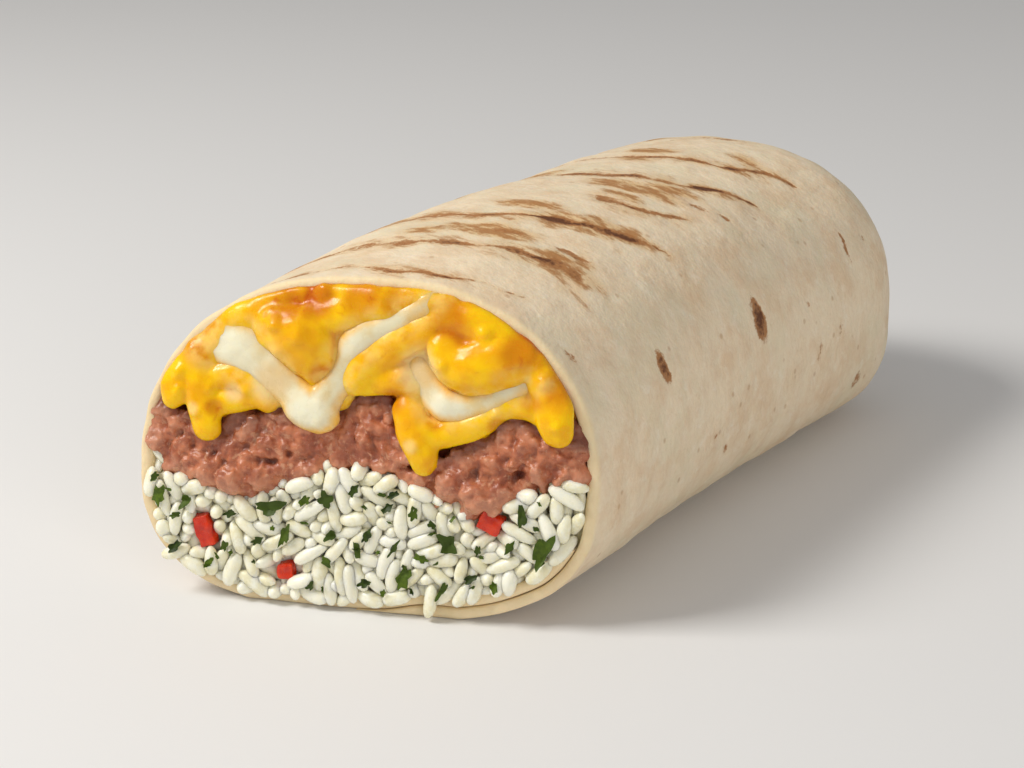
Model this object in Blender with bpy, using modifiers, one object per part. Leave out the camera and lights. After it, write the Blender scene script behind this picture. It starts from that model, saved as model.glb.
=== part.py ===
"""Half of a rolled burrito lying on its seam: a flour tortilla round rice, mashed beans and melted cheese.

The roll runs along Y. Its cut face looks towards -Y, turned a little to +X and leaning back, and its
tucked end is at +Y. It rests on Z = 0, with the origin under the middle of its box. Lengths are in metres.
"""

import math
import random

import bmesh
import bpy
from mathutils import Matrix, Vector, noise

MM = 0.001

# The roll: outer sizes, and how full each corner of its section is (2 is an ellipse, more is squarer).
# The numbers come from the photograph: its outline and the rim of the cut face, seen from one fitted camera.
WIDTH = 75 * MM
HEIGHT = 56.8 * MM
LENGTH = 151 * MM
CUT_Y = -70 * MM
CUT_TURN = math.tan(math.radians(17))
CUT_LEAN = math.tan(math.radians(6.5))
WIDEST_AT = 0.43
TOP_RIGHT, TOP_LEFT, LOW_LEFT, LOW_RIGHT = 2.25, 2.15, 2.95, 2.75
REST_DEPTH = 1.0 * MM
# How the section changes on its way back: it grows a little wider and flatter, and bows to the left.
WIDENING = 2.4 * MM
FLATTENING = 0.6 * MM
SWELL = 1.2 * MM
FRONT_SWELL = 1.0 * MM
BOW = 1.0 * MM
FILLING_OUT = 0.6

DENT_DEPTH, DENT_SPREAD, DENT_FREE = 0.6 * MM, 26 * MM, 5 * MM

# The rounded, tucked end.
END_ROUND = 30 * MM
END_FULLNESS = 2.4
END_SHARE = 0.3
END_CENTRE = 0.38
TUCK_DIMPLE = 3.5 * MM
PLEAT_DEPTH = 0.7 * MM

# The tortilla sheet, by the angle of its roll. It starts inside at the lower right, goes once round by way
# of the bottom and the left, and ends outside, under the bottom, where it lies over its own start.
SHEET = 1.9 * MM
EDGE_SHARE = 0.3
LAYER_GAP = 0.35 * MM
ROLL_STEP = 10
ROLL_START, ROLL_END = -18, -438
STRAIGHT_STATIONS = [0, 0.15, 0.3, 0.45, 0.6]
END_STATIONS = [0.65, 0.7, 0.75, 0.8, 0.86, 0.92, 0.96, 1]
MERGE_START, MERGE_END = -78, -92

# The fillings stand this far off each other and off the tortilla.
CLEARANCE = 0.35 * MM
FILLING_END = 68 * MM
RICE_RECESS, BEANS_RECESS, CHEESE_RECESS = 1.5 * MM, 0.8 * MM, 0.9 * MM

# Melted cheese on the cut face: paths of (across, up, out of the face, radius), in millimetres.
YELLOW_PATHS = [
    [(-31, 43, -0.6, 2.6), (-28, 45.5, -0.4, 2.6), (-22, 48, -0.4, 2.4)],
    [(-31.5, 39, 0.2, 2.4), (-32.2, 35.5, 1.0, 2.3), (-32, 33.4, 1.3, 2.0)],
    [(-27.5, 40, 0.2, 3.2), (-27, 35.5, 1.2, 2.8), (-26, 31, 2.2, 2.4), (-25.6, 28.2, 2.3, 1.9)],
    [(-26, 36.5, 1.0, 2.4), (-21, 34.6, 1.5, 2.4), (-16.5, 35.6, 1.1, 2.3), (-14, 37.5, 0.6, 2.0)],
    [(-22, 37.5, 0.2, 2.6), (-16, 39, 0, 2.6)],
    [(-15.5, 47, 0.6, 3.8), (-12, 44.5, 1.5, 4.2), (-9, 42, 1.2, 3.0)],
    [(-18, 49.3, 0, 2.0), (-11, 51, 0, 1.9), (-2, 51, 0.2, 2.4), (5, 51.2, 0, 1.9)],
    [(-8, 47.5, 0.7, 2.6), (0, 49.3, 0.6, 2.2)],
    [(-2.5, 38.6, 1.2, 2.6), (1, 42.3, 1.3, 2.8), (6, 45.6, 0.8, 2.8), (9.5, 47.5, 0.4, 2.4)],
    [(0, 38.4, 0.6, 2.2), (6, 39, 0.2, 2.6)],
    [(13, 48, 0.2, 3.2), (16, 44, 1.3, 4.4), (21, 44, 1.0, 4.2), (25, 43.5, 0.2, 3.0)],
    [(28.5, 40.5, 0.2, 2.6), (30, 37, 1.2, 2.8), (30.6, 33.6, 1.6, 2.3)],
    [(6.5, 34.5, 1.2, 2.2), (9, 31, 2.2, 2.7), (10.3, 27.8, 2.6, 2.2), (10.6, 26.6, 2.4, 1.8)],
    [(10, 31.5, 2.0, 2.8), (15, 32, 2.0, 2.4), (19.5, 33, 1.6, 2.2)],
    [(19.5, 33, 1.6, 2.2), (23, 36, 1.2, 2.2), (27, 36.5, 0.8, 2.0)],
]
WHITE_PATHS = {
    "cheese_white_left": [
        [(-23.5, 43, 1.2, 3.4), (-20, 41.5, 1.9, 3.4), (-15, 39, 2.2, 2.6), (-11.5, 36, 2.4, 2.7)],
        [(-11.5, 36, 2.4, 2.7), (-8, 33.4, 2.8, 3.2), (-7.5, 34, 2.6, 2.8)],
        [(-7.5, 34, 2.6, 2.8), (-4.5, 38.5, 2.4, 2.2), (-2, 43, 2.2, 2.0), (3, 47.4, 1.9, 2.0)],
        [(-2, 43, 2.2, 2.0), (3, 47.4, 1.9, 2.0), (8.3, 50.4, 1.2, 1.6)],
    ],
    "cheese_white_right": [
        [(8.3, 42.3, 0.7, 2.2), (9.5, 39, 1.2, 2.3), (12, 36.5, 1.9, 2.5), (16, 35.8, 1.9, 2.3)],
        [(16, 35.8, 1.9, 2.3), (20, 38, 1.7, 2.1), (25, 40.6, 1.2, 2.0)],
    ],
}
# Each white cheese runs back through the yellow as a flat rod: (across, up) of its middle, then its half sizes.
WHITE_RODS = {
    "cheese_white_left": ((-20.4, 41.4), (4.4, 2.8)),
    "cheese_white_right": ((14, 36.3), (3.4, 1.5)),
}
ROD_RECESS = -0.3 * MM

# Diced pepper among the rice: its place (across, up, out of the face), its turn in the face in degrees, and
# its three sizes. Flakes of herb: across, up, turn and length. Both are in millimetres.
PEPPERS = [
    ((-25.5, 11.4, 0.6), 17, (2.9, 5.6, 2.4)),
    ((-11.6, 5.9, 0.7), 5, (2.7, 2.7, 2.2)),
    ((21.4, 17.2, 0.8), -25, (4.0, 3.4, 2.4)),
]
HERB_OUT, HERB_THICK = 1.0 * MM, 0.9 * MM
HERBS = [
    (-32.8, 17, 80, 4.0), (-14, 17, 12, 5.2), (-5.2, 19, 95, 3.2), (-11.7, 12.4, 75, 4.4),
    (-28.4, 16.6, 65, 2.8), (15.3, 13.8, -50, 4.2), (8.4, 6.8, 70, 4.6), (26.6, 19.3, 100, 3.8),
    (30.2, 14, 68, 5.6), (11, 10.7, -20, 2.6), (-29.8, 8.8, 40, 3.0), (9.4, 18.4, 85, 2.6),
    (14.6, 5.4, 60, 3.6), (0.6, 12, 80, 3.0), (-0.6, 21.4, 65, 2.4),
]
RICE_SEED = 11
GRAIN_SPACING = 3.5 * MM
GRAIN_LENGTHS = (5.4 * MM, 7.2 * MM)
GRAIN_RADIUS = 1.3 * MM
GRAIN_MARGIN = 0.7 * MM
RIM_OVERLAP = 0.5 * MM
# A few grains hang out over the rim: (across, up, out of the face, turn, lean out).
STRAY_GRAINS = [
    (-31.4, 7.8, 1.7, 40, 0), (11.6, 4.3, 1.6, 72, 0), (-21.2, 5.4, 1.6, 60, 0), (0.4, 5.2, 1.6, 80, 0),
]

# What brings the origin under the middle of the finished part's box.
ORIGIN_SHIFT = (0.7 * MM, -0.4 * MM, 0)

COLOURS = {
    "tortilla": ((0.80, 0.69, 0.51), 0.62),
    "rice": ((0.86, 0.84, 0.76), 0.38),
    "beans": ((0.36, 0.17, 0.12), 0.45),
    "cheese_yellow": ((0.92, 0.50, 0.04), 0.26),
    "cheese_white": ((0.90, 0.83, 0.62), 0.28),
}


def clamp(value):
    return max(0.0, min(1.0, value))


def smooth(low, high, value):
    t = clamp((value - low) / (high - low))
    return t * t * (3 - 2 * t)


def mix(a, b, share):
    return a + (b - a) * share


def signed_power(value, power):
    return math.copysign(abs(value) ** power, value)


def cut_y(x, z):
    """Where the cut plane stands at this place across and up."""
    return CUT_Y + x * CUT_TURN + z * CUT_LEAN


CUT_NORMAL = Vector((CUT_TURN, -1, CUT_LEAN)).normalized()


def on_cut(x, z, out=0.0):
    """A point on the cut face, pushed out of it by out."""
    return Vector((x, cut_y(x, z), z)) + CUT_NORMAL * out


def section(angle, share=0.0):
    """The outline at an angle: x as a share of the half width, z as a share of the height.

    It fills out low on the right on its way back, as share goes from 0 to 1.
    """
    c, s = math.cos(angle), math.sin(angle)
    right = 0.5 + 0.5 * math.tanh(6 * c)
    full = mix(TOP_LEFT, TOP_RIGHT, right) if s > 0 else mix(LOW_LEFT, LOW_RIGHT + FILLING_OUT * share, right)
    x, z = signed_power(c, 2 / full), signed_power(s, 2 / full)
    return x, WIDEST_AT + z * (1 - WIDEST_AT if s > 0 else WIDEST_AT)


def profile(v):
    """How far along the roll v is, from 0 at the cut to 1 at the middle of the end, and its section's scale."""
    straight, straight_end, round_end = LENGTH - END_ROUND, 0.6, 0.92
    if v <= straight_end:
        return straight * v / straight_end, 1.0
    if v <= round_end:
        turn = (v - straight_end) / (round_end - straight_end) * math.pi / 2
        scale = mix(END_SHARE, 1, max(math.cos(turn), 0.0) ** (2 / END_FULLNESS))
        return straight + END_ROUND * math.sin(turn) ** (2 / END_FULLNESS), scale
    share = (v - round_end) / (1 - round_end)
    return LENGTH - TUCK_DIMPLE * smooth(0, 1, share), mix(END_SHARE, 0.06, share)


def surface(angle, v):
    """A point on the roll's outer surface."""
    station, scale = profile(v)
    share = station / LENGTH
    x, z = section(angle, share)
    half, full = math.sin(math.pi * share), math.sin(2 * math.pi * share)
    height = HEIGHT - FLATTENING * share + SWELL * half + FRONT_SWELL * full
    x = x * (WIDTH + WIDENING * share) / 2 * scale - BOW * half
    z = mix(END_CENTRE, z, scale) * height
    y = mix(cut_y(x, z), CUT_Y, share) + station
    tucked = smooth(0.66, 0.9, v) * smooth(0, 0.35, scale)
    pleat = PLEAT_DEPTH * tucked * (math.sin(4 * angle + 0.8) + 0.5 * math.sin(7 * angle + 2.0))
    dents = DENT_DEPTH * noise.noise(Vector((x, y, z)) / DENT_SPREAD) * (1 - tucked)
    dents *= smooth(0, DENT_FREE, z)
    outward = Vector((x, 0, z - END_CENTRE * HEIGHT)).normalized()
    point = Vector((x, y, z - REST_DEPTH)) + outward * (pleat + dents)
    point.z = max(point.z, 0.0)
    return point


def inset(angle, v, depth):
    """A point this deep under the outer surface."""
    step = 1e-3
    along_angle = surface(angle + step, v) - surface(angle - step, v)
    along_v = surface(angle, min(v + step, 1)) - surface(angle, max(v - step, 0))
    inward = along_angle.cross(along_v).normalized()
    middle = Vector((0, surface(angle, v).y - 10 * MM * (v > 0.9), END_CENTRE * HEIGHT))
    if inward.dot(middle - surface(angle, v)) < 0:
        inward.negate()
    return surface(angle, v) + inward * depth


def layer_depth(degrees):
    """How far under the outer surface the sheet lies at this angle of its roll."""
    return (SHEET + LAYER_GAP) * (1 - smooth(-MERGE_START, -MERGE_END, -degrees))


def cavity_depth(degrees):
    """How deep the innermost face of the sheet is, at an angle from -180 to 180, with clearance."""
    under = layer_depth(degrees)
    if degrees > ROLL_START:
        under = (SHEET + LAYER_GAP) * (1 - smooth(ROLL_START + 3, ROLL_START + 15, degrees))
    return SHEET + under + CLEARANCE


def rice_top(x):
    return 20.8 * MM + 3.2 * MM * math.cos(2 * math.pi * x / (38 * MM))


def beans_top(x):
    return 33.6 * MM + 2.0 * MM * math.cos(2 * math.pi * x / (45 * MM))


def collection(name):
    made = bpy.data.collections.new(name)
    bpy.context.scene.collection.children.link(made)
    return made


def clear_scene():
    for obj in list(bpy.data.objects):
        bpy.data.objects.remove(obj)
    for old in list(bpy.data.collections):
        bpy.data.collections.remove(old)


def add_object(name, mesh, into):
    obj = bpy.data.objects.new(name, mesh)
    into.objects.link(obj)
    return obj


def object_from_bmesh(name, bm, into):
    bmesh.ops.recalc_face_normals(bm, faces=bm.faces)
    mesh = bpy.data.meshes.new(name)
    bm.to_mesh(mesh)
    bm.free()
    return add_object(name, mesh, into)


def bake(obj):
    """Gives the object the mesh that its modifiers make, and removes them."""
    graph = bpy.context.evaluated_depsgraph_get()
    made = bpy.data.meshes.new_from_object(obj.evaluated_get(graph))
    obj.modifiers.clear()
    obj.data = made
    return obj


def boolean(obj, operation, other=None, group=None):
    """Joins or cuts closed bodies. The exact solver pinches an edge here, so the manifold one is used."""
    modifier = obj.modifiers.new(operation.title(), "BOOLEAN")
    modifier.operation = operation
    modifier.solver = "MANIFOLD"
    if group:
        modifier.operand_type = "COLLECTION"
        modifier.collection = group
    else:
        modifier.object = other
    return bake(obj)


def remove_objects(objects):
    for obj in list(objects):
        bpy.data.objects.remove(obj)


def largest_piece(obj):
    """Drops every loose scrap but the largest piece."""
    bm = bmesh.new()
    bm.from_mesh(obj.data)
    left, pieces = set(bm.verts), []
    while left:
        piece, edge = set(), [left.pop()]
        while edge:
            vert = edge.pop()
            piece.add(vert)
            near = {e.other_vert(vert) for e in vert.link_edges} & left
            left -= near
            edge.extend(near)
        pieces.append(piece)
    pieces.sort(key=len, reverse=True)
    bmesh.ops.delete(bm, geom=[v for piece in pieces[1:] for v in piece], context="VERTS")
    bm.to_mesh(obj.data)
    bm.free()
    return obj


def in_triangles(obj):
    """Splits every face into triangles and turns them all outwards."""
    bm = bmesh.new()
    bm.from_mesh(obj.data)
    bmesh.ops.triangulate(bm, faces=bm.faces)
    bmesh.ops.recalc_face_normals(bm, faces=bm.faces)
    bm.to_mesh(obj.data)
    bm.free()
    return obj


def decimated(obj, triangles):
    obj.data.calc_loop_triangles()
    modifier = obj.modifiers.new("Decimate", "DECIMATE")
    modifier.ratio = min(1, triangles / len(obj.data.loop_triangles))
    modifier.use_collapse_triangulate = True
    return bake(obj)


def tortilla_sheet(into):
    """The rolled sheet, from its inner start to its outer end, thickened inwards, its rim in the cut plane."""
    columns = (ROLL_START - ROLL_END) // ROLL_STEP
    stations = STRAIGHT_STATIONS + END_STATIONS
    bm = bmesh.new()
    bmesh.ops.create_grid(bm, x_segments=columns, y_segments=len(stations) - 1, size=0.5)
    inner_columns = [abs(vert.co.x) < 0.5 - 0.5 / columns for vert in bm.verts]
    for vert in bm.verts:
        column = round((vert.co.x + 0.5) * columns)
        row = round((vert.co.y + 0.5) * (len(stations) - 1))
        degrees = ROLL_START - column * ROLL_STEP
        vert.co = inset(math.radians(degrees), stations[row], layer_depth(degrees))
    mesh = bpy.data.meshes.new("tortilla")
    bm.to_mesh(mesh)
    bm.free()
    obj = add_object("tortilla", mesh, into)
    group = obj.vertex_groups.new(name="full thickness")
    group.add([index for index, inner in enumerate(inner_columns) if inner], 1, "REPLACE")
    solidify = obj.modifiers.new("Thickness", "SOLIDIFY")
    solidify.thickness = SHEET
    solidify.vertex_group = group.name
    solidify.thickness_vertex_group = EDGE_SHARE
    solidify.offset = -1
    bake(obj)
    for vert in obj.data.vertices:
        plane = cut_y(vert.co.x, vert.co.z)
        if abs(vert.co.y - plane) < SHEET:
            vert.co.y = plane
    return obj


def tuck_plug(into):
    """The wad of folded tortilla that closes the tucked end from inside."""
    bm = bmesh.new()
    place = Matrix.Translation((0, CUT_Y + LENGTH - TUCK_DIMPLE - 4.2 * MM, END_CENTRE * HEIGHT))
    stretch = Matrix.Diagonal((14 * MM, 4.6 * MM, 10 * MM, 1))
    bmesh.ops.create_uvsphere(bm, u_segments=20, v_segments=10, radius=1, matrix=place @ stretch)
    return object_from_bmesh("tuck", bm, into)


def cavity_block(into):
    """The space inside the tortilla, from just behind the cut to the tucked end, as one solid."""
    steps, stations = 360 // ROLL_STEP, [-0.02] + STRAIGHT_STATIONS[1:] + END_STATIONS[:4]
    facet_turn = math.radians(ROLL_START % ROLL_STEP)
    bm = bmesh.new()
    bmesh.ops.create_cone(bm, cap_ends=True, segments=steps, radius1=1, radius2=1, depth=1)
    bmesh.ops.subdivide_edges(
        bm,
        edges=[e for e in bm.edges if abs(e.verts[0].co.z - e.verts[1].co.z) > 0.5],
        cuts=len(stations) - 2,
        use_grid_fill=True,
    )
    for vert in bm.verts:
        row = round((vert.co.z + 0.5) * (len(stations) - 1))
        angle = math.atan2(vert.co.y, vert.co.x) + facet_turn
        v = stations[row]
        point = inset(angle, max(v, 0), cavity_depth(math.degrees(angle)))
        if row == 0:
            point.y = cut_y(point.x, point.z) - 6 * MM
        vert.co = point
    return object_from_bmesh("filling", bm, into)


def slab(name, lower, upper, recess, into):
    """A wavy slab from lower(x) to upper(x), whose front follows the cut plane, set back by recess."""
    columns, half_width = 22, 44 * MM
    bm = bmesh.new()
    bmesh.ops.create_cube(bm, size=1)
    across = [e for e in bm.edges if abs(e.verts[0].co.x - e.verts[1].co.x) > 0.5]
    bmesh.ops.subdivide_edges(bm, edges=across, cuts=columns - 1)
    for vert in bm.verts:
        x = vert.co.x * 2 * half_width
        z = upper(x) if vert.co.z > 0 else lower(x)
        vert.co = Vector((x, mix(cut_y(x, z) + recess, FILLING_END, vert.co.y + 0.5), z))
    return object_from_bmesh(name, bm, into)


def layer(name, block, lower, upper, recess, into, relief=None):
    """One filling: a slab with the relief of its cut face, trimmed to the space inside the tortilla."""
    obj = slab(name, lower, upper, recess, into)
    if relief:
        boolean(obj, "UNION", relief)
    return boolean(obj, "INTERSECT", block)


def along_path(points, step=0.8):
    """Balls along a smooth curve through the path's points, as (across, up, out, radius) in millimetres."""
    ends = [points[0], *points, points[-1]]
    for i in range(len(points) - 1):
        a, b, c, d = (Vector(ends[i + k]) for k in range(4))
        count = max(1, math.ceil((c - b).length / step))
        for k in range(count + (i == len(points) - 2)):
            t = k / count
            bend, twist = 2 * a - 5 * b + 4 * c - d, 3 * b - a - 3 * c + d
            yield 0.5 * (2 * b + (c - a) * t + bend * t * t + twist * t**3)


def melted(name, balls, triangles, into, grow=0.0, voxel=0.7 * MM):
    """Balls run together into one smooth lump, as melted cheese or mash does, with each ball larger by grow."""
    bm = bmesh.new()
    for x, z, out, radius in balls:
        place = Matrix.Translation(on_cut(x * MM, z * MM, out * MM))
        bmesh.ops.create_icosphere(bm, subdivisions=2, radius=radius * MM + grow, matrix=place)
    obj = object_from_bmesh(name, bm, into)
    remesh = obj.modifiers.new("Melt", "REMESH")
    remesh.mode = "VOXEL"
    remesh.voxel_size = voxel
    soften = obj.modifiers.new("Soften", "SMOOTH")
    soften.factor = 0.5
    soften.iterations = 4
    return decimated(bake(obj), triangles)


def bean_balls():
    """Lumps of mash over the bean layer's face, with two that sag over the rice."""
    rng = random.Random(21)
    balls = [(-21, 21.2, 1.6, 4.4), (-25.5, 22, 1.2, 3.6), (-16.5, 22.4, 1.4, 3.6)]
    balls += [(18.5, 22.6, 1.7, 4.2), (14, 23.6, 1.3, 3.6)]
    for column in range(15):
        x = -33.6 + column * 4.8
        low, high = rice_top(x * MM) / MM, beans_top(x * MM) / MM
        for row in range(4):
            radius = rng.uniform(2.5, 3.4)
            z = mix(low + 2.6, high - 0.7 - radius, (row + 0.5 * (column % 2)) / 3.5)
            across = max(-32.6, min(31.8, x + rng.uniform(-0.9, 0.9)))
            balls.append((across, z, rng.uniform(-0.7, 0.9), radius))
    return balls


def inside_cavity(x, z, margin):
    """Whether a place in the lower half of the face lies inside the tortilla by the margin."""
    level = HEIGHT * WIDEST_AT
    angle = math.atan2((z - level) / level, x / (WIDTH / 2))
    depth = cavity_depth(math.degrees(angle)) + REST_DEPTH + margin
    full = LOW_LEFT if x < 0 else LOW_RIGHT
    return abs(x / (WIDTH / 2 - depth)) ** full + abs((z - level) / (level - depth)) ** full < 1


def grain(bm, x, z, out, turn, lean, length, radius=GRAIN_RADIUS):
    """One grain of rice on the face: turned in the face, and leaning out of it."""
    in_face = Matrix.Rotation(math.atan(CUT_TURN), 4, "Z")
    spin = Matrix.Rotation(-math.radians(turn), 4, "Y") @ Matrix.Rotation(math.radians(lean), 4, "Z")
    shape = Matrix.Rotation(math.pi / 2, 4, "Y") @ Matrix.Diagonal((radius, radius, length / 2, 1))
    place = Matrix.Translation(on_cut(x, z, out)) @ in_face @ spin @ shape
    bmesh.ops.create_uvsphere(bm, u_segments=5, v_segments=4, radius=1, matrix=place)


def rice_grains(into):
    """Grains spread over the rice's face on a jittered grid, each its own object until they are joined."""
    rng = random.Random(RICE_SEED)
    spots = []
    for row in range(8):
        for column in range(24):
            x = (column - 11.5 + 0.5 * (row % 2)) * GRAIN_SPACING + rng.uniform(-0.6, 0.6) * MM
            z = 3.4 * MM + row * GRAIN_SPACING * 0.8 + rng.uniform(-0.5, 0.5) * MM
            spots.append((x, z, rng.uniform(-0.9, 0.6) * MM, rng.uniform(0, 180), rng.uniform(-35, 35)))
    for x, z, out, turn, lean in spots:
        length = rng.uniform(*GRAIN_LENGTHS)
        reach = (length / 2 - GRAIN_RADIUS) * math.cos(math.radians(lean))
        along, up = reach * math.cos(math.radians(turn)), reach * math.sin(math.radians(turn))
        ends = [(x - along, z - up), (x + along, z + up)]
        if not all(inside_cavity(a, b, -RIM_OVERLAP) and b < rice_top(a) for a, b in ends):
            continue
        if not all(inside_cavity(a, b, GRAIN_MARGIN) for a, b in ends):
            out, lean = GRAIN_RADIUS + CLEARANCE, 0
        bm = bmesh.new()
        grain(bm, x, z, out, turn, lean, length)
        object_from_bmesh("grain", bm, into)
    for x, z, out, turn, lean in STRAY_GRAINS:
        bm = bmesh.new()
        grain(bm, x * MM, z * MM, out * MM, turn, lean, GRAIN_LENGTHS[1])
        object_from_bmesh("grain", bm, into)


def rice_bits(into):
    """Diced pepper and flakes of herb lying in the face of the rice."""
    face = Matrix.Rotation(math.atan(CUT_TURN), 4, "Z")
    for (x, z, out), turn, (across, up, deep) in PEPPERS:
        bm = bmesh.new()
        turned = face @ Matrix.Rotation(-math.radians(turn), 4, "Y")
        place = Matrix.Translation(on_cut(x * MM, z * MM, out * MM)) @ turned
        bmesh.ops.create_cube(bm, size=1, matrix=place @ Matrix.Diagonal((across * MM, deep * MM, up * MM, 1)))
        object_from_bmesh("pepper", bm, into)
    for x, z, turn, length in HERBS:
        bm = bmesh.new()
        turned = face @ Matrix.Rotation(-math.radians(turn), 4, "Y")
        place = Matrix.Translation(on_cut(x * MM, z * MM, HERB_OUT)) @ turned
        shape = Matrix.Diagonal((length / 2 * MM, HERB_THICK / 2, length / 4.2 * MM, 1))
        bmesh.ops.create_icosphere(bm, subdivisions=1, radius=1, matrix=place @ shape)
        object_from_bmesh("herb", bm, into)


def white_cheese(name, node, into, cutters, grow=0.0):
    """A strand of white cheese on the face, joined to the rod that runs back through the roll."""
    balls = [ball for path in WHITE_PATHS[node] for ball in along_path(path)]
    obj = melted(name, balls, 420, into, grow)
    (x, z), (half_width, half_height) = WHITE_RODS[node]
    bm = bmesh.new()
    front, back = cut_y(x * MM, z * MM), FILLING_END - 6 * MM
    turn = Matrix.Rotation(math.pi / 2, 4, "X")
    stretch = Matrix.Diagonal((half_width * MM + grow, back - front + 2 * grow, half_height * MM + grow, 1))
    place = Matrix.Translation((x * MM, (front + back) / 2, z * MM)) @ stretch @ turn
    bmesh.ops.create_cone(bm, cap_ends=True, segments=16, radius1=1, radius2=1, depth=1, matrix=place)
    for vert in bm.verts:
        if vert.co.y < (front + back) / 2:
            vert.co.y = cut_y(vert.co.x, vert.co.z) + ROD_RECESS - grow
    rod = object_from_bmesh(name + "_rod", bm, cutters)
    boolean(obj, "UNION", rod)
    remove_objects([rod])
    return obj


def paint(obj, name):
    colour, roughness = COLOURS[name]
    material = bpy.data.materials.get(name) or bpy.data.materials.new(name)
    material.use_nodes = True
    shader = material.node_tree.nodes["Principled BSDF"]
    shader.inputs["Base Color"].default_value = (*colour, 1)
    shader.inputs["Roughness"].default_value = roughness
    obj.data.materials.clear()
    obj.data.materials.append(material)


def build():
    clear_scene()
    burrito = collection("burrito half")
    cutters = collection("cutters")

    tortilla = tortilla_sheet(burrito)
    plug = tuck_plug(cutters)
    boolean(in_triangles(tortilla), "UNION", plug)
    in_triangles(tortilla)

    block = cavity_block(cutters)
    gap = CLEARANCE
    lumps = melted("bean_lumps", bean_balls(), 850, cutters)
    drips = [ball for path in YELLOW_PATHS for ball in along_path(path)]
    relief = melted("yellow_relief", drips, 1050, cutters)
    rice = layer("rice", block, lambda x: -5 * MM, lambda x: rice_top(x) - 2.5 * gap, RICE_RECESS, burrito)
    beans = layer("beans", block, rice_top, lambda x: beans_top(x) - gap, BEANS_RECESS, burrito, lumps)
    yellow = layer("cheese_yellow", block, beans_top, lambda x: 70 * MM, CHEESE_RECESS, burrito, relief)

    whites = [white_cheese(name, name, burrito, cutters) for name in WHITE_PATHS]
    white_rooms = [white_cheese(name + "_room", name, cutters, cutters, gap) for name in WHITE_PATHS]
    relief_room = melted("relief_room", drips, 1050, cutters, gap)
    lumps_room = melted("lumps_room", bean_balls(), 850, cutters, gap)
    beans_room = slab("beans_room", lambda x: rice_top(x) - gap, beans_top, BEANS_RECESS - gap, cutters)
    for room in white_rooms:
        boolean(yellow, "DIFFERENCE", room)
    in_triangles(largest_piece(yellow))
    for room in [*white_rooms, relief_room]:
        boolean(beans, "DIFFERENCE", room)
    in_triangles(largest_piece(beans))

    grains = collection("grains")
    rice_grains(grains)
    rice_bits(grains)
    boolean(rice, "UNION", group=grains)
    remove_objects(grains.objects)
    for room in [lumps_room, beans_room, relief_room]:
        boolean(rice, "DIFFERENCE", room)
    in_triangles(largest_piece(rice))
    remove_objects(cutters.objects)

    for obj in (tortilla, rice, beans, yellow):
        paint(obj, obj.name)
    for obj in whites:
        paint(obj, "cheese_white")
    for obj in (tortilla, beans, yellow, *whites):
        obj.data.shade_smooth()
        obj.data.set_sharp_from_angle(angle=math.radians(50))
    holder = add_object("burrito_half", None, burrito)
    for obj in (tortilla, rice, beans, yellow, *whites):
        obj.data.transform(Matrix.Translation(ORIGIN_SHIFT))
        obj.parent = holder


build()
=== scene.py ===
"""Looks for half of a rolled burrito: a flour tortilla round rice, mashed beans and melted cheese.

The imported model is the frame. Every piece here is built at its true size in the same place, in metres,
and stands for the CAD node that it covers. The cut face looks towards -Y and the tucked end is at +Y.
"""

import math
import random
from functools import cached_property

import bmesh
import bpy
import numpy as np
from mathutils import Matrix, Vector, noise


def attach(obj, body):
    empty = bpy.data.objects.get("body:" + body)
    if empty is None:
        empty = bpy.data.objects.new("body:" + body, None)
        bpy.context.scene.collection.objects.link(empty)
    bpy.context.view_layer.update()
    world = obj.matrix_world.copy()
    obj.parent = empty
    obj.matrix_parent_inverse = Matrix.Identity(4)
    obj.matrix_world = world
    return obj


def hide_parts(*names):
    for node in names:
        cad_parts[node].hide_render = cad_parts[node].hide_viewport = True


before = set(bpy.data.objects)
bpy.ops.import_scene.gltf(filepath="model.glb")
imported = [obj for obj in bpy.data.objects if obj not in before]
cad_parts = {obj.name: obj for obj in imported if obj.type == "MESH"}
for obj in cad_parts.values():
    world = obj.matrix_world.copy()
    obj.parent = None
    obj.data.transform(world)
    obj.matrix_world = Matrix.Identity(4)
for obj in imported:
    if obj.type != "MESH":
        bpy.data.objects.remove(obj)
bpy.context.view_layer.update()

MM = 0.001

# The roll, as the frame has it.
WIDTH = 75 * MM
HEIGHT = 56.8 * MM
LENGTH = 151 * MM
CUT_Y = -70 * MM
CUT_TURN = math.tan(math.radians(17))
CUT_LEAN = math.tan(math.radians(6.5))
WIDEST_AT = 0.43
TOP_RIGHT, TOP_LEFT, LOW_LEFT, LOW_RIGHT = 2.25, 2.15, 2.95, 2.75
REST_DEPTH = 1.0 * MM
WIDENING, FLATTENING = 2.4 * MM, 0.6 * MM
SWELL, FRONT_SWELL, BOW = 1.2 * MM, 1.0 * MM, 1.0 * MM
FILLING_OUT = 0.6
DENT_DEPTH, DENT_SPREAD, DENT_FREE = 0.6 * MM, 26 * MM, 5 * MM
END_ROUND, END_FULLNESS, END_SHARE, END_CENTRE = 30 * MM, 2.4, 0.3, 0.38
TUCK_DIMPLE, PLEAT_DEPTH = 3.5 * MM, 0.7 * MM
SHEET, LAYER_GAP = 1.9 * MM, 0.15 * MM
ROLL_START, ROLL_END = -18, -450
MERGE_START, MERGE_END = -78, -92
EDGE_TAPER, EDGE_THIN = 9, 0.25
FILLING_END = 68 * MM
STRAIGHT_TO, ROUND_TO = 0.6, 0.92
ROUND_SPAN, TUCK_SPAN, TUCK_HOLE = 0.32, 0.08, 0.004
ORIGIN_SHIFT = np.array((0.7 * MM, -0.4 * MM, 0))

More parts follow.
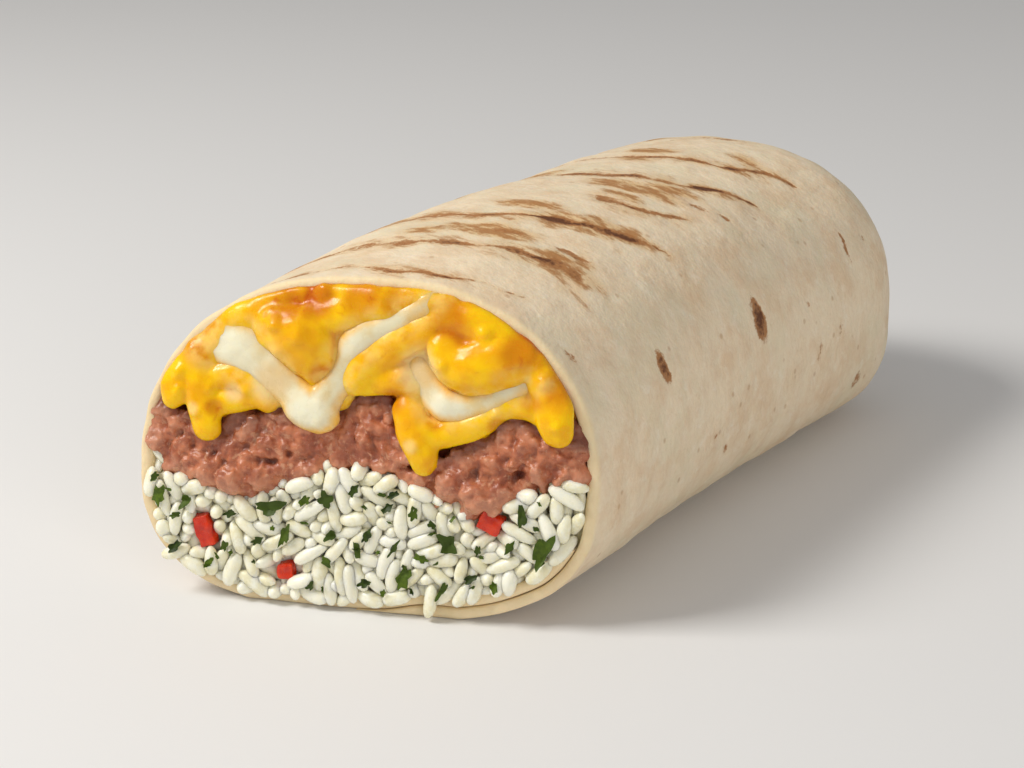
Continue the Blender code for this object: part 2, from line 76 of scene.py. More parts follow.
NORMAL = np.array((CUT_TURN, -1, CUT_LEAN)) / math.sqrt(CUT_TURN**2 + 1 + CUT_LEAN**2)
ACROSS = np.array((1, CUT_TURN, 0)) / math.sqrt(1 + CUT_TURN**2)
UP = np.cross(ACROSS, NORMAL) * -1


def smooth(low, high, value):
    t = np.clip((value - low) / (high - low), 0, 1)
    return t * t * (3 - 2 * t)


def mix(a, b, share):
    return a + (b - a) * share


def signed_power(value, power):
    return np.sign(value) * np.abs(value) ** power


def cut_y(x, z):
    return CUT_Y + x * CUT_TURN + z * CUT_LEAN


def on_cut(x, z, out=0.0):
    """Points on the cut face, pushed out of it by out, all in metres."""
    x, z, out = np.broadcast_arrays(x, z, out)
    return np.stack((x, cut_y(x, z), z), axis=-1) + out[..., None] * NORMAL


def from_cut(points):
    """Across, up and out of the cut face for points: the opposite of on_cut."""
    out = (points[..., 1] - cut_y(points[..., 0], points[..., 2])) * NORMAL[1]
    foot = points - out[..., None] * NORMAL
    return foot[..., 0], foot[..., 2], out


def noise_at(points, size, shift=0.0):
    """Smooth noise from -1 to 1 at each point, with features of about this size."""
    values = [noise.noise(Vector(p)) for p in (points / size + shift).reshape(-1, 3)]
    return np.array(values).reshape(points.shape[:-1])


def section(angle, share):
    """The outline across the roll, a soft ellipse that is fuller below, as shares of its width and height."""
    c, s = np.cos(angle), np.sin(angle)
    right = 0.5 + 0.5 * np.tanh(6 * c)
    top = mix(TOP_LEFT, TOP_RIGHT, right)
    low = mix(LOW_LEFT, LOW_RIGHT + FILLING_OUT * share, right)
    full = np.where(s > 0, top, low)
    z = signed_power(s, 2 / full)
    return signed_power(c, 2 / full), WIDEST_AT + z * np.where(s > 0, 1 - WIDEST_AT, WIDEST_AT)


def profile(v):
    """How far along the roll v lies, from 0 at the cut to 1 at the tuck, and the section's scale there."""
    straight = LENGTH - END_ROUND
    turn = np.clip((v - STRAIGHT_TO) / ROUND_SPAN, 0, 1) * math.pi / 2
    rounding = np.maximum(np.cos(turn), 0) ** (2 / END_FULLNESS)
    tuck = np.clip((v - ROUND_TO) / TUCK_SPAN, 0, 1)
    rounded = straight + END_ROUND * np.sin(turn) ** (2 / END_FULLNESS)
    dimple = LENGTH - TUCK_DIMPLE * smooth(0, 1, tuck)
    station = np.where(v <= ROUND_TO, rounded, dimple)
    station = np.where(v <= STRAIGHT_TO, straight * v / STRAIGHT_TO, station)
    closing = np.where(v <= ROUND_TO, mix(END_SHARE, 1, rounding), mix(END_SHARE, TUCK_HOLE, tuck))
    return station, np.where(v <= STRAIGHT_TO, 1, closing)


def surface(angle, v):
    """Points on the roll's outer surface."""
    station, scale = profile(v)
    share = station / LENGTH
    x, z = section(angle, share)
    half, full = np.sin(math.pi * share), np.sin(2 * math.pi * share)
    height = HEIGHT - FLATTENING * share + SWELL * half + FRONT_SWELL * full
    x = x * (WIDTH + WIDENING * share) / 2 * scale - BOW * half
    z = mix(END_CENTRE, z, scale) * height
    y = mix(cut_y(x, z), CUT_Y, share) + station
    tucked = smooth(0.66, 0.9, v) * smooth(0, 0.35, scale)
    pleat = PLEAT_DEPTH * tucked * (np.sin(4 * angle + 0.8) + 0.5 * np.sin(7 * angle + 2.0))
    points = np.stack((x, y, z), axis=-1)
    dents = DENT_DEPTH * noise_at(points, DENT_SPREAD)
    dents = dents * (1 - tucked) * smooth(0, DENT_FREE, z)
    outward = np.stack((x, np.zeros_like(x), z - END_CENTRE * HEIGHT), axis=-1)
    outward /= np.linalg.norm(outward, axis=-1)[..., None]
    points = points - (0, 0, REST_DEPTH) + outward * (pleat + dents)[..., None]
    points[..., 2] = np.maximum(points[..., 2], 0)
    return points


def with_inward(angle, v):
    """Points on the outer surface and the directions into the roll there."""
    step = 1e-3
    here = surface(angle, v)
    along_angle = surface(angle + step, v) - surface(angle - step, v)
    along_v = surface(angle, np.minimum(v + step, 1)) - surface(angle, np.maximum(v - step, 0))
    inward = np.cross(along_angle, along_v)
    inward /= np.linalg.norm(inward, axis=-1)[..., None]
    middle_y = here[..., 1] - 10 * MM * (v > 0.9)
    middle = np.stack((np.zeros_like(v), middle_y, np.full_like(v, END_CENTRE * HEIGHT)), axis=-1)
    flip = np.sum(inward * (middle - here), axis=-1) < 0
    inward[flip] *= -1
    return here, inward


def layer_depth(degrees):
    """How deep the sheet lies under the outer surface, where it starts inside the roll."""
    return (SHEET + LAYER_GAP) * (1 - smooth(-MERGE_START, -MERGE_END, -degrees))


def edge_share(from_edge):
    """What share of the sheet's thickness is left at so many degrees from its inner edge."""
    return mix(EDGE_THIN, 1, smooth(0, EDGE_TAPER, from_edge))


def wall_depth(degrees):
    """How deep the tortilla's innermost face is at an angle from -180 to 180."""
    start = ROLL_START - degrees
    inner = layer_depth(degrees) - SHEET * (1 - edge_share(start))
    return SHEET + np.where(start < 0, 0, inner)


# The tortilla's inner face at the cut, as a distance from a point in the middle of the filling.
WALL_ANGLES = np.radians(np.arange(-180, 181, 2.0))
WALL_FRONT, WALL_INWARD = with_inward(WALL_ANGLES, np.zeros_like(WALL_ANGLES))
WALL = WALL_FRONT + WALL_INWARD * wall_depth(np.degrees(WALL_ANGLES))[:, None]
WALL_CENTRE = np.array((0, 24 * MM))
WALL_POLAR = np.arctan2(WALL[:, 2] - WALL_CENTRE[1], WALL[:, 0] - WALL_CENTRE[0])
WALL_ORDER = np.argsort(WALL_POLAR)
WALL_REACH = np.hypot(WALL[:, 0] - WALL_CENTRE[0], WALL[:, 2] - WALL_CENTRE[1])[WALL_ORDER]


def wall_room(x, z):
    """How far a place on the face lies inside the tortilla's inner face, measured from the middle."""
    dx, dz = x - WALL_CENTRE[0], z - WALL_CENTRE[1]
    reach = np.interp(np.arctan2(dz, dx), WALL_POLAR[WALL_ORDER], WALL_REACH, period=2 * math.pi)
    return reach - np.hypot(dx, dz)


def kept_inside(x, z, margin):
    """Moves places on the face towards the middle until they lie inside the wall by the margin."""
    dx, dz = x - WALL_CENTRE[0], z - WALL_CENTRE[1]
    away = np.maximum(np.hypot(dx, dz), 1e-6)
    push = np.maximum(margin - wall_room(x, z), 0) / away
    return x - dx * push, z - dz * push


# The lines between rice, beans and yellow cheese on the cut face, as (across, up) in millimetres.
BEANS_BOTTOM = np.array([
    (-36, 24), (-33, 21.5), (-30, 20.3), (-27, 19.5), (-24, 18), (-20, 17.3), (-15, 18.5), (-12, 20),
    (-8, 22), (-4, 23.5), (0, 24), (4, 23.5), (8, 22.5), (12, 21), (15, 19.5), (20, 18.5), (23, 20),
    (26, 22.5), (30, 23.5), (34, 25.5),
]) * MM
BEANS_TOP = np.array([
    (-34, 33), (-29, 32), (-26, 29), (-23, 28.5), (-21, 30), (-18, 32), (-14, 33.5), (-8, 32), (-3, 34),
    (0, 36.5), (3, 36.3), (5, 34), (8, 29), (12, 28), (17, 29.5), (20, 31), (23, 34.5), (26, 35),
    (31, 32.5), (36, 32),
]) * MM


def beans_bottom(x):
    return np.interp(x, BEANS_BOTTOM[:, 0], BEANS_BOTTOM[:, 1])


def beans_top(x):
    return np.interp(x, BEANS_TOP[:, 0], BEANS_TOP[:, 1])


# Meshes.


def added(name, data):
    obj = bpy.data.objects.new(name, data)
    bpy.context.scene.collection.objects.link(obj)
    return obj


def from_bmesh(name, bm):
    mesh = bpy.data.meshes.new(name)
    bm.to_mesh(mesh)
    bm.free()
    return added(name, mesh)


def mesh_object(name, points, faces, shaded_smooth=True):
    mesh = bpy.data.meshes.new(name)
    mesh.from_pydata((np.asarray(points) + ORIGIN_SHIFT).tolist(), [], faces)
    obj = added(name, mesh)
    if shaded_smooth:
        mesh.shade_smooth()
    return obj


def ring_faces(rings, sides, first=0):
    """Quads between rings of points that follow one another."""
    faces = []
    for ring in range(rings - 1):
        low, high = first + ring * sides, first + (ring + 1) * sides
        for k in range(sides):
            following = (k + 1) % sides
            faces.append((low + k, low + following, high + following, high + k))
    return faces


def points_of(obj):
    flat = np.empty(len(obj.data.vertices) * 3, dtype=np.float32)
    obj.data.vertices.foreach_get("co", flat)
    return flat.reshape(-1, 3).astype(float)


def set_points(obj, points):
    obj.data.vertices.foreach_set("co", points.astype(np.float32).ravel())
    obj.data.update()


def face_places(obj):
    """Across, up and out of the cut face for an object's points."""
    return from_cut(points_of(obj) - ORIGIN_SHIFT)


def normals_of(obj):
    flat = np.empty(len(obj.data.vertices) * 3, dtype=np.float32)
    obj.data.vertex_normals.foreach_get("vector", flat)
    return flat.reshape(-1, 3).astype(float)


def set_attribute(obj, name, values):
    attribute = obj.data.attributes.new(name, "FLOAT", "POINT")
    attribute.data.foreach_set("value", np.asarray(values, dtype=np.float32))


def bake(obj):
    graph = bpy.context.evaluated_depsgraph_get()
    made = bpy.data.meshes.new_from_object(obj.evaluated_get(graph))
    obj.modifiers.clear()
    obj.data = made
    return obj


def boolean(obj, operation, other):
    modifier = obj.modifiers.new(operation.title(), "BOOLEAN")
    modifier.operation = operation
    modifier.solver = "MANIFOLD"
    modifier.object = other
    bake(obj)
    bpy.data.objects.remove(other)
    return obj


def finish_piece(obj, material, slot, *nodes):
    obj.data.materials.clear()
    obj.data.materials.append(material)
    for polygon in obj.data.polygons:
        polygon.material_index = 0
    obj.data.name = obj.name
    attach(obj, "root")
    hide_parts(*nodes)


# The tortilla.

# Toasted marks on the tortilla, in millimetres: s goes round the roll from the middle of its top, to the
# right, and y goes along it from the front. A streak is a list of (s, y, half width, strength).
STREAKS = [
    [
        (-26, -2, 0.3, 0.3), (-8, 10.5, 0.7, 0.55), (0, 10.5, 0.8, 0.7), (10, 13.5, 0.7, 0.62),
        (21, 19, 0.35, 0.45),
    ],
    [
        (-30, 12, 0.6, 0.4), (-15, 20.5, 1.2, 0.65), (-6, 24, 1.4, 0.7), (5, 28.5, 1.0, 0.55),
        (15, 32.5, 1.2, 0.75), (22, 35.5, 1.8, 0.85),
    ],
    [
        (-34, 29, 0.6, 0.4), (-12, 40, 1.3, 0.7), (0, 44, 1.0, 0.75), (9, 49.5, 1.0, 0.95),
        (16.5, 54, 1.5, 1.0), (22, 58, 0.9, 0.95), (27.5, 61.5, 0.5, 0.7),
    ],
    [
        (-34, 68, 0.7, 0.4), (-14, 79, 1.1, 0.55), (4, 86.5, 1.3, 0.6), (13, 90.5, 1.0, 0.85),
        (19, 96, 0.9, 0.9), (24.5, 100.5, 0.4, 0.7),
    ],
    [(9, 68, 1.0, 0.6), (15, 68.8, 1.2, 0.75), (22, 75.5, 0.8, 0.6)],
    [
        (-32, 94, 0.8, 0.35), (-8, 101, 1.0, 0.4), (5, 105.5, 0.9, 0.75), (13.5, 110.5, 0.8, 0.85),
        (18, 116, 1.0, 0.85), (23.5, 118, 0.6, 0.6),
    ],
    [(-30, 118, 0.8, 0.4), (-10, 126, 1.2, 0.45), (6, 131, 0.9, 0.35)],
]
# Spots are (s, y, half length, half width, turn in degrees, strength).
SPOTS = [
    (45.5, 77.5, 5.2, 2.3, 14, 0.85), (44.5, 41.2, 4.4, 2.0, 14, 0.78), (40, 118, 4.0, 0.8, 4, 0.62),
    (57, 100, 3.4, 0.7, -3, 0.42), (66, 64, 1.8, 1.2, 30, 0.5), (47.5, 96.5, 1.3, 1.0, 0, 0.42),
    (54.5, 109, 1.8, 1.3, 0, 0.36), (68, 120, 2.6, 1.8, 30, 0.45), (76, 136.5, 2.6, 2.2, 60, 0.52),
    (34, 18.5, 2.0, 0.9, 10, 0.5), (62, 58, 1.4, 0.8, 40, 0.36), (40, 126, 2.0, 1.6, 10, 0.3),
    (92, 96, 6.5, 0.5, 66, 0.5), (-60, 60, 4.6, 2.1, -12, 0.75), (-52, 104, 3.4, 1.6, 8, 0.66),
    (-66, 24, 3.8, 1.7, -10, 0.6), (-74, 84, 2.4, 1.5, 20, 0.5), (-48, 38, 2.0, 1.2, 0, 0.45),
    (-62, 128, 3.0, 1.8, 35, 0.55), (-80, 50, 2.0, 1.2, 0, 0.4), (21, 83.5, 2.4, 1.0, 10, 0.46),
    (25.5, 86.5, 1.8, 1.0, 15, 0.55), (19, 40.5, 3.4, 1.3, 18, 0.62), (-4, 33.5, 3.0, 1.0, 20, 0.5),
    (6, 38.5, 3.2, 1.3, 18, 0.55),
]
# Broad tan patches are given like the spots.
PATCHES = [
    (2, 54, 9, 4, 15, 0.7), (4, 37, 12, 5, 18, 0.85), (-6, 31, 7, 3, 15, 0.6), (18, 36, 4, 3, 15, 0.9),
    (8.7, 80, 13, 5.5, 8, 0.85), (10, 73, 6, 3, 0, 0.7), (14, 86, 8, 3, 12, 0.8), (-3, 110, 7, 4.5, 0, 0.85),
    (13, 118, 6, 4, 0, 0.65), (-3, 101, 6, 3, 0, 0.6), (-23, 138, 6, 3, 30, 0.6), (-20, 60, 8, 6, 0, 0.5),
    (-14, 84, 9, 4, 20, 0.6), (-38, 44, 8, 5, 0, 0.4), (-28, 98, 8, 6, 0, 0.45), (-70, 66, 9, 6, 0, 0.35),
    (60, 88, 8, 5, 0, 0.2), (8, 50, 7, 2.5, 25, 0.6), (-18, 40, 8, 3, 15, 0.6), (36, 60, 9, 7, 0, 0.22),
    (50, 30, 9, 6, 0, 0.18),
]

AROUND_COLUMNS = 290
RIM_ROUND = 0.45 * MM
# Rows of points over the rim, as (v, share of the thickness, set back from the cut).
RIM_ROWS = [
    (0.004, 1, 1.0), (0, 0.96, 0.45), (0, 0.82, 0.12), (0, 0.6, 0), (0, 0.4, 0), (0, 0.2, 0.12),
    (0, 0.06, 0.42), (0.003, 0, 1.0),
]
RIM_PALE, RIM_LAST_PALE = 0.75, 0.35


def stations(straight, rounding):
    """Places along the roll: so many up to where it rounds over, and so many on the rounding."""
    return np.linspace(0, STRAIGHT_TO, straight), STRAIGHT_TO + ROUND_SPAN * np.linspace(0, 1, rounding)[1:]


def skin_rows():
    """Rows like RIM_ROWS, from the inside's far end to the rim and on to the outside's far end."""
    straight, rounding = stations(172, 52)
    tuck = ROUND_TO + TUCK_SPAN * np.linspace(0, 1, 26)[1:]
    outside = np.concatenate((straight[2:], rounding, tuck))
    straight, rounding = stations(22, 12)
    inside = np.concatenate((straight[1:], rounding, [0.96, 1.0]))
    return [(v, 1, -1) for v in inside[::-1]] + RIM_ROWS + [(v, 0, -1) for v in outside], len(inside)


def zipped(first, second, first_at, second_at):
    """Triangles between two lines of points that run side by side, each point with its place along them."""
    faces, i, j = [], 0, 0
    while i < len(first) - 1 or j < len(second) - 1:
        step_first = j == len(second) - 1 or (i < len(first) - 1 and first_at[i + 1] <= second_at[j + 1])
        if step_first:
            faces.append((int(first[i]), int(second[j]), int(first[i + 1])))
            i += 1
        else:
            faces.append((int(first[i]), int(second[j]), int(second[j + 1])))
            j += 1
    return faces


def sheet_thickness(degrees):
    """The sheet's thickness round the roll: thin at its inner edge, and running out at its outer one."""
    room = np.maximum(layer_depth(degrees + 360) - LAYER_GAP, 0.1 * MM)
    thickness = SHEET * edge_share(ROLL_START - degrees)
    return np.where(degrees < MERGE_START - 360, np.minimum(SHEET, room), thickness)


def skin_points(degrees, v, deep, setback):
    """Places on the roll's outer surface, and the uneven sheet's points that belong to them."""
    angle_grid, v_grid = np.meshgrid(np.radians(degrees), v)
    here, inward = with_inward(angle_grid, v_grid)
    on_floor = smooth(0.2 * MM, 5 * MM, here[..., 2])
    wave = 0.28 * noise_at(here, 7 * MM) + 0.06 * noise_at(here, 2.6 * MM, 5.0)
    wave = wave * MM * mix(0.15, 1, on_floor)
    depth = layer_depth(np.degrees(angle_grid)) + deep[:, None] * sheet_thickness(degrees)[None, :]
    depth = depth + wave - tuck_steps(here, v_grid)
    points = here + inward * depth[..., None]
    points[..., 2] = np.maximum(points[..., 2], 0.02 * MM * (1 - on_floor))
    for row, back in enumerate(setback):
        if back >= 0:
            x, z = points[row, :, 0], points[row, :, 2]
            lip = 0.25 * MM * noise_at(here[row], 5 * MM, 9.0)
            points[row, :, 1] = cut_y(x, z) + back * RIM_ROUND * 1.6 + lip
    return here, points


def skin_faces(row_count, v, inside_count):
    """Faces of the sheet, of its two edges along the roll and of the thickness at its far end."""
    index = np.arange(row_count * AROUND_COLUMNS).reshape(row_count, AROUND_COLUMNS)
    corners = (index[:-1, :-1], index[:-1, 1:], index[1:, 1:], index[1:, :-1])
    faces = np.stack(corners, axis=-1).reshape(-1, 4).tolist()
    middle_row = inside_count + len(RIM_ROWS) // 2
    for column in (0, -1):
        inner, outer = index[:middle_row, column][::-1], index[middle_row:, column]
        faces += zipped(inner, outer, v[:middle_row][::-1], v[middle_row:])
        faces.append((int(inner[0]), int(outer[0]), int(outer[1])))
    for k in range(AROUND_COLUMNS - 1):
        faces.append([int(index[row, column]) for row, column in ((0, k), (-1, k), (-1, k + 1), (0, k + 1))])
    return faces


def tortilla_skin():
    rows, inside_count = skin_rows()
    degrees = np.linspace(ROLL_START, ROLL_END, AROUND_COLUMNS)
    v, deep, setback = (np.array(column) for column in zip(*rows))
    here, points = skin_points(degrees, v, deep, setback)
    obj = mesh_object("tortilla_skin", points.reshape(-1, 3), skin_faces(len(rows), v, inside_count))

    around, along = wrap_places(degrees, v)
    sharp, broad = toasted(around, along, here)
    outer_share = 1 - deep[:, None]
    set_attribute(obj, "streak", (sharp * outer_share).ravel())
    set_attribute(obj, "patch", (broad * outer_share).ravel())
    last_rim_row = inside_count + len(RIM_ROWS) - 1
    rim = np.repeat(deep[:, None], AROUND_COLUMNS, axis=1)
    rim[inside_count:last_rim_row] = np.maximum(rim[inside_count:last_rim_row], RIM_PALE)
    rim[last_rim_row] = RIM_LAST_PALE
    set_attribute(obj, "rim", rim.ravel())
    return rounded_off(obj)


def rounded_off(obj):
    """Faces turned outwards and shaded smooth, apart from sharp edges."""
    facing_out(obj, False)
    obj.data.shade_smooth()
    obj.data.set_sharp_from_angle(angle=math.radians(60))
    return obj


def wrap_places(degrees, v):
    """Where each point lies on the flat sheet, in millimetres: round the roll from its top, and along it."""
    middle = surface(np.radians(degrees), np.full(len(degrees), 0.3))[:, [0, 2]]
    around = np.concatenate(([0], np.cumsum(np.hypot(*np.diff(middle, axis=0).T))))
    around -= np.interp(270, -degrees, around)
    front = surface(np.radians(degrees), np.zeros(len(degrees)))[:, 1] - CUT_Y
    ladder = np.linspace(0, 1, 600)
    station, scale = profile(ladder)
    run = np.concatenate(([0], np.cumsum(np.hypot(np.diff(station), np.diff(scale) * WIDTH * 0.4))))
    share = np.minimum(profile(v)[0] / LENGTH, 1)
    along = front[None, :] * (1 - share[:, None]) + np.interp(v, ladder, run)[:, None]
    return np.broadcast_to(around, along.shape) / MM, along / MM


def toasted(around, along, points):
    """How strongly each point is marked by the griddle: the streaks and spots, then the soft patches."""
    wander = np.stack([noise_at(points, 6 * MM, shift) for shift in (11.0, 31.0)])
    s, y = around + 1.3 * wander[0], along + 1.3 * wander[1]

    def ellipse(spot, longer, core_share):
        across, up, half_length, half_width, turn, strength = spot
        c, sine = math.cos(math.radians(turn)), math.sin(math.radians(turn))
        a = (s - across) * c + (y - up) * sine
        b = -(s - across) * sine + (y - up) * c
        away = np.hypot(a / (half_length * longer), b / (half_width * 1.3))
        return strength * (1 - smooth(core_share, 1.0, away))

    sharp, broad = np.zeros_like(s), np.zeros_like(s)
    swell = 1 + 1.1 * noise_at(points, 3.5 * MM, 51.0)
    faint = 0.95 + 0.75 * noise_at(points, 4.5 * MM, 71.0)
    for streak in STREAKS:
        for (s1, y1, w1, k1), (s2, y2, w2, k2) in zip(streak, streak[1:]):
            length = math.hypot(s2 - s1, y2 - y1)
            t = np.clip(((s - s1) * (s2 - s1) + (y - y1) * (y2 - y1)) / length**2, 0, 1)
            away = np.hypot(s - mix(s1, s2, t), y - mix(y1, y2, t)) / (mix(w1, w2, t) * 1.7 * swell)
            sharp = np.maximum(sharp, mix(k1, k2, t) * faint * (1 - smooth(0.1, 1.0, away)))
            broad = np.maximum(broad, 0.6 * mix(k1, k2, t) * (1 - smooth(0.3, 3.6, away)))
    for spot in SPOTS:
        sharp = np.maximum(sharp, ellipse(spot, 1.15, 0.35))
    for patch in PATCHES:
        broad = np.maximum(broad, ellipse(patch, 1.2, 0.1))
    return sharp, broad


def tuck_steps(points, v):
    """How much the folded flaps of the tucked end stand up: one hangs down over two that meet below it."""
    x, z = points[..., 0] / MM, points[..., 2] / MM
    wobble = 0.9 * np.sin(x / 4.2 + 1) + 0.8 * np.sin(z / 3.7)
    on_end = smooth(0.7, 0.86, v)
    hanging = z - 15 - 0.026 * (x - 3) ** 2 - wobble
    meeting = 3 - 0.25 * (z - 8) + wobble - x

    def step(edge):
        return smooth(-0.5, 0.5, edge) - 0.35 * np.exp(-(((edge + 0.9) / 0.7) ** 2))

    lower = 0.9 * step(meeting) * (1 - smooth(-0.5, 0.5, hanging))
    return MM * on_end * (1.5 * step(hanging) + lower - 0.7)


# The fillings. The cheeses' paths are lists of (across, up, out of the cut face, radius) in millimetres.

YELLOW_PATHS = [
    [(-31.5, 42, -0.6, 3.0), (-28.5, 45, -0.3, 3.2), (-23, 48, -0.2, 3.0), (-18, 50.5, -0.1, 2.6)],
    [(-31, 39.5, 0.5, 2.8), (-31.6, 36, 1.0, 2.6), (-31.3, 34.2, 1.3, 2.5)],
    [(-27.5, 41, 0.2, 3.4), (-27, 36.5, 0.9, 2.8), (-26, 32, 1.5, 3.2), (-25.4, 29.4, 1.7, 2.8)],
    [(-25.5, 37.5, 0.8, 2.2), (-21.5, 37.8, 1.0, 2.0), (-18.5, 36.5, 1.0, 2.1), (-16, 34.6, 1.0, 2.3)],
    [(-24, 33.2, 1.1, 2.4), (-20.5, 33.6, 1.1, 2.0), (-17, 35, 1.0, 2.0)],
    [(-14.5, 46.6, 0.9, 4.4), (-10.5, 45.2, 1.5, 5.2), (-8.2, 41.5, 1.0, 3.4), (-8, 39.6, 0.7, 2.2)],
    [
        (-19, 50.6, 0.0, 2.4), (-13, 52.2, 0.1, 2.2), (-7, 52.4, -0.3, 2.0), (0, 51.6, 0.5, 3.2),
        (6, 52, 0.2, 2.4),
    ],
    [(-9, 48.5, 0.8, 3.2), (-3, 50, 0.7, 2.8), (3, 51, 0.5, 2.6)],
    [(-1.5, 39, 1.0, 2.8), (1.5, 43, 1.2, 2.9), (5.5, 46, 1.0, 3.0), (9.5, 48.2, 0.6, 2.6)],
    [(0, 38.4, 0.7, 2.2), (5, 39.8, 0.5, 3.0), (8, 39, 0.2, 2.4)],
    [(12.5, 50, 0.1, 3.4), (18, 49, 0.3, 3.4), (24, 46, 0.2, 3.2), (29, 43.4, 0.2, 2.6)],
    [(13, 45, 1.0, 3.4), (15.5, 42.5, 1.5, 4.4), (20, 43.4, 1.4, 4.8), (24.5, 44.4, 0.6, 3.4)],
    [(29, 41.6, 0.8, 2.8), (30.4, 38, 1.2, 3.3), (31, 34.6, 1.7, 3.3), (31.4, 33.6, 1.7, 2.9)],
    [
        (6.8, 34.6, 1.0, 2.5), (8.6, 32, 1.6, 3.2), (10, 29, 2.0, 2.9), (10.6, 27.2, 2.1, 2.5),
        (10.6, 26.4, 2.0, 2.2),
    ],
    [(9.5, 31.2, 1.8, 3.0), (13.5, 31.6, 1.6, 2.6), (17.5, 32.8, 1.3, 2.3), (20, 34.2, 1.1, 2.3)],
    [(20, 34.2, 1.1, 2.3), (22.6, 36.4, 1.1, 2.0), (26, 36.8, 0.9, 1.9), (28.5, 35.6, 0.8, 1.9)],
    [(-8, 36.4, 0.4, 2.2), (-3, 37.6, 0.4, 2.0)],
    [(3, 53.2, 0.1, 2.0), (8, 53, 0.1, 2.2), (13, 52, 0.1, 2.2)],
]
WHITE_PATHS = {
    "cheese_white_left": [
        [
            (-27, 42.5, -0.9, 1.6), (-24.6, 42.8, -0.1, 3.0), (-21.2, 43.2, 0.3, 4.4),
            (-17.8, 41.4, 0.6, 4.2), (-14, 38.4, 0.9, 3.5), (-11, 36, 1.2, 3.2),
        ],
        [(-11, 36, 1.2, 3.2), (-9, 33.9, 1.8, 3.8), (-7, 33.4, 1.8, 3.7)],
        [
            (-7, 34.5, 1.5, 3.4), (-4.6, 38, 1.1, 2.7), (-3, 42, 0.9, 2.5), (-1.2, 45.4, 0.9, 2.9),
            (3, 48.2, 0.8, 2.5),
        ],
        [
            (3, 48.2, 0.8, 2.5), (6, 50.2, 0.7, 2.2), (9, 52.2, 0.5, 1.9), (11, 53.6, -0.2, 1.0),
            (12, 54.2, -0.8, 0.5),
        ],
    ],
    "cheese_white_right": [
        [
            (8.8, 43.4, -0.8, 1.8), (9, 40.8, -0.1, 2.9), (11, 37.9, 0.5, 2.9), (13.6, 36.1, 1.2, 2.8),
            (17, 36.2, 1.0, 2.4),
        ],
        [
            (17, 36.2, 1.0, 2.4), (20.4, 37.7, 0.9, 2.2), (23.4, 39.6, 0.8, 2.2), (26.2, 41, 0.5, 1.8),
            (28.6, 41.8, -0.2, 0.9), (29.6, 42, -0.8, 0.5),
        ],
    ],
}
# Where each strand's rod runs back through the yellow cheese: its middle and its half width and height.
WHITE_RODS = {
    "cheese_white_left": ((-20.4, 41.4), (4.4, 2.8)),
    "cheese_white_right": ((14, 36.3), (3.4, 1.5)),
}


# Places on the yellow cheese that sink a little and are painted deep orange as shade, as (across, up, reach,
# strength), and small bulges on it, as (across, up, reach, height), all in millimetres apart from the
# strength.
SHADED_DIMPLES = [
    (-8, 52, 3.5, 1.0), (-13, 51, 3.5, 0.8), (-1, 52.5, 3.5, 0.7), (5, 52.5, 3, 0.6), (-6.5, 39.5, 2.4, 0.9),
    (13, 50.5, 3.5, 0.8), (25, 46, 3.5, 0.7), (-28, 43, 3.5, 0.7), (22, 33.4, 2, 0.7), (27, 38, 2, 0.6),
    (-24, 33, 1.6, 0.7), (-28, 47, 4, 0.7), (31, 41, 3, 0.6), (5, 36.5, 2.2, 0.7), (12, 33.6, 1.6, 0.6),
]
BULGES = [
    (-14.4, 47.8, 2.0, 0.7), (-14, 43, 1.8, 0.6), (-30.5, 38.4, 1.7, 0.6), (-30, 35.4, 1.5, 0.6),
    (-27, 31.8, 1.5, 0.5), (-19, 35.9, 1.6, 0.6), (28.8, 41.4, 1.8, 0.7), (12.6, 42.9, 1.6, 0.6),
    (19, 48.4, 2.0, 0.7), (31.4, 34.4, 1.6, 0.5), (6, 40.5, 1.8, 0.4), (-24.8, 36, 1.6, 0.5),
    (9.2, 29.4, 1.6, 0.5), (21.5, 35.6, 1.4, 0.5), (-10, 46, 2.2, 0.4),
]


def along_path(points, step=0.6):
    """Points on a smooth curve through a path's points, about a step apart."""
    ends = [points[0], *points, points[-1]]
    for i in range(len(points) - 1):
        a, b, c, d = (np.array(ends[i + k], dtype=float) for k in range(4))
        count = max(1, math.ceil(np.linalg.norm((c - b)[:3]) / step))
        for k in range(count + (i == len(points) - 2)):
            t = k / count
            square, cube = 2 * a - 5 * b + 4 * c - d, 3 * b - a - 3 * c + d
            yield 0.5 * (2 * b + (c - a) * t + square * t * t + cube * t**3)


FACE_AXES = Matrix((ACROSS, UP, NORMAL)).transposed().to_4x4()


def balls_mesh(name, balls, flatness=1.0):
    """Overlapping balls, given as (across, up, out, radius) in millimetres, before they are run together.

    They lie flat on the face where flatness is under 1.
    """
    bm = bmesh.new()
    for x, z, out, radius in balls:
        x, z = kept_inside(x * MM, z * MM, (radius - 1.2) * MM)
        place = Matrix.Translation(Vector(on_cut(x, z, out * MM) + ORIGIN_SHIFT))
        shape = place @ FACE_AXES @ Matrix.Diagonal((radius * MM, radius * MM, radius * MM * flatness, 1))
        bmesh.ops.create_icosphere(bm, subdivisions=2, radius=1, matrix=shape)
    return from_bmesh(name, bm)


def run_together(obj, voxel, softening):
    remesh = obj.modifiers.new("Melt", "REMESH")
    remesh.mode = "VOXEL"
    remesh.voxel_size = voxel
    soften = obj.modifiers.new("Soften", "SMOOTH")
    soften.factor = 0.5
    soften.iterations = softening
    return bake(obj)


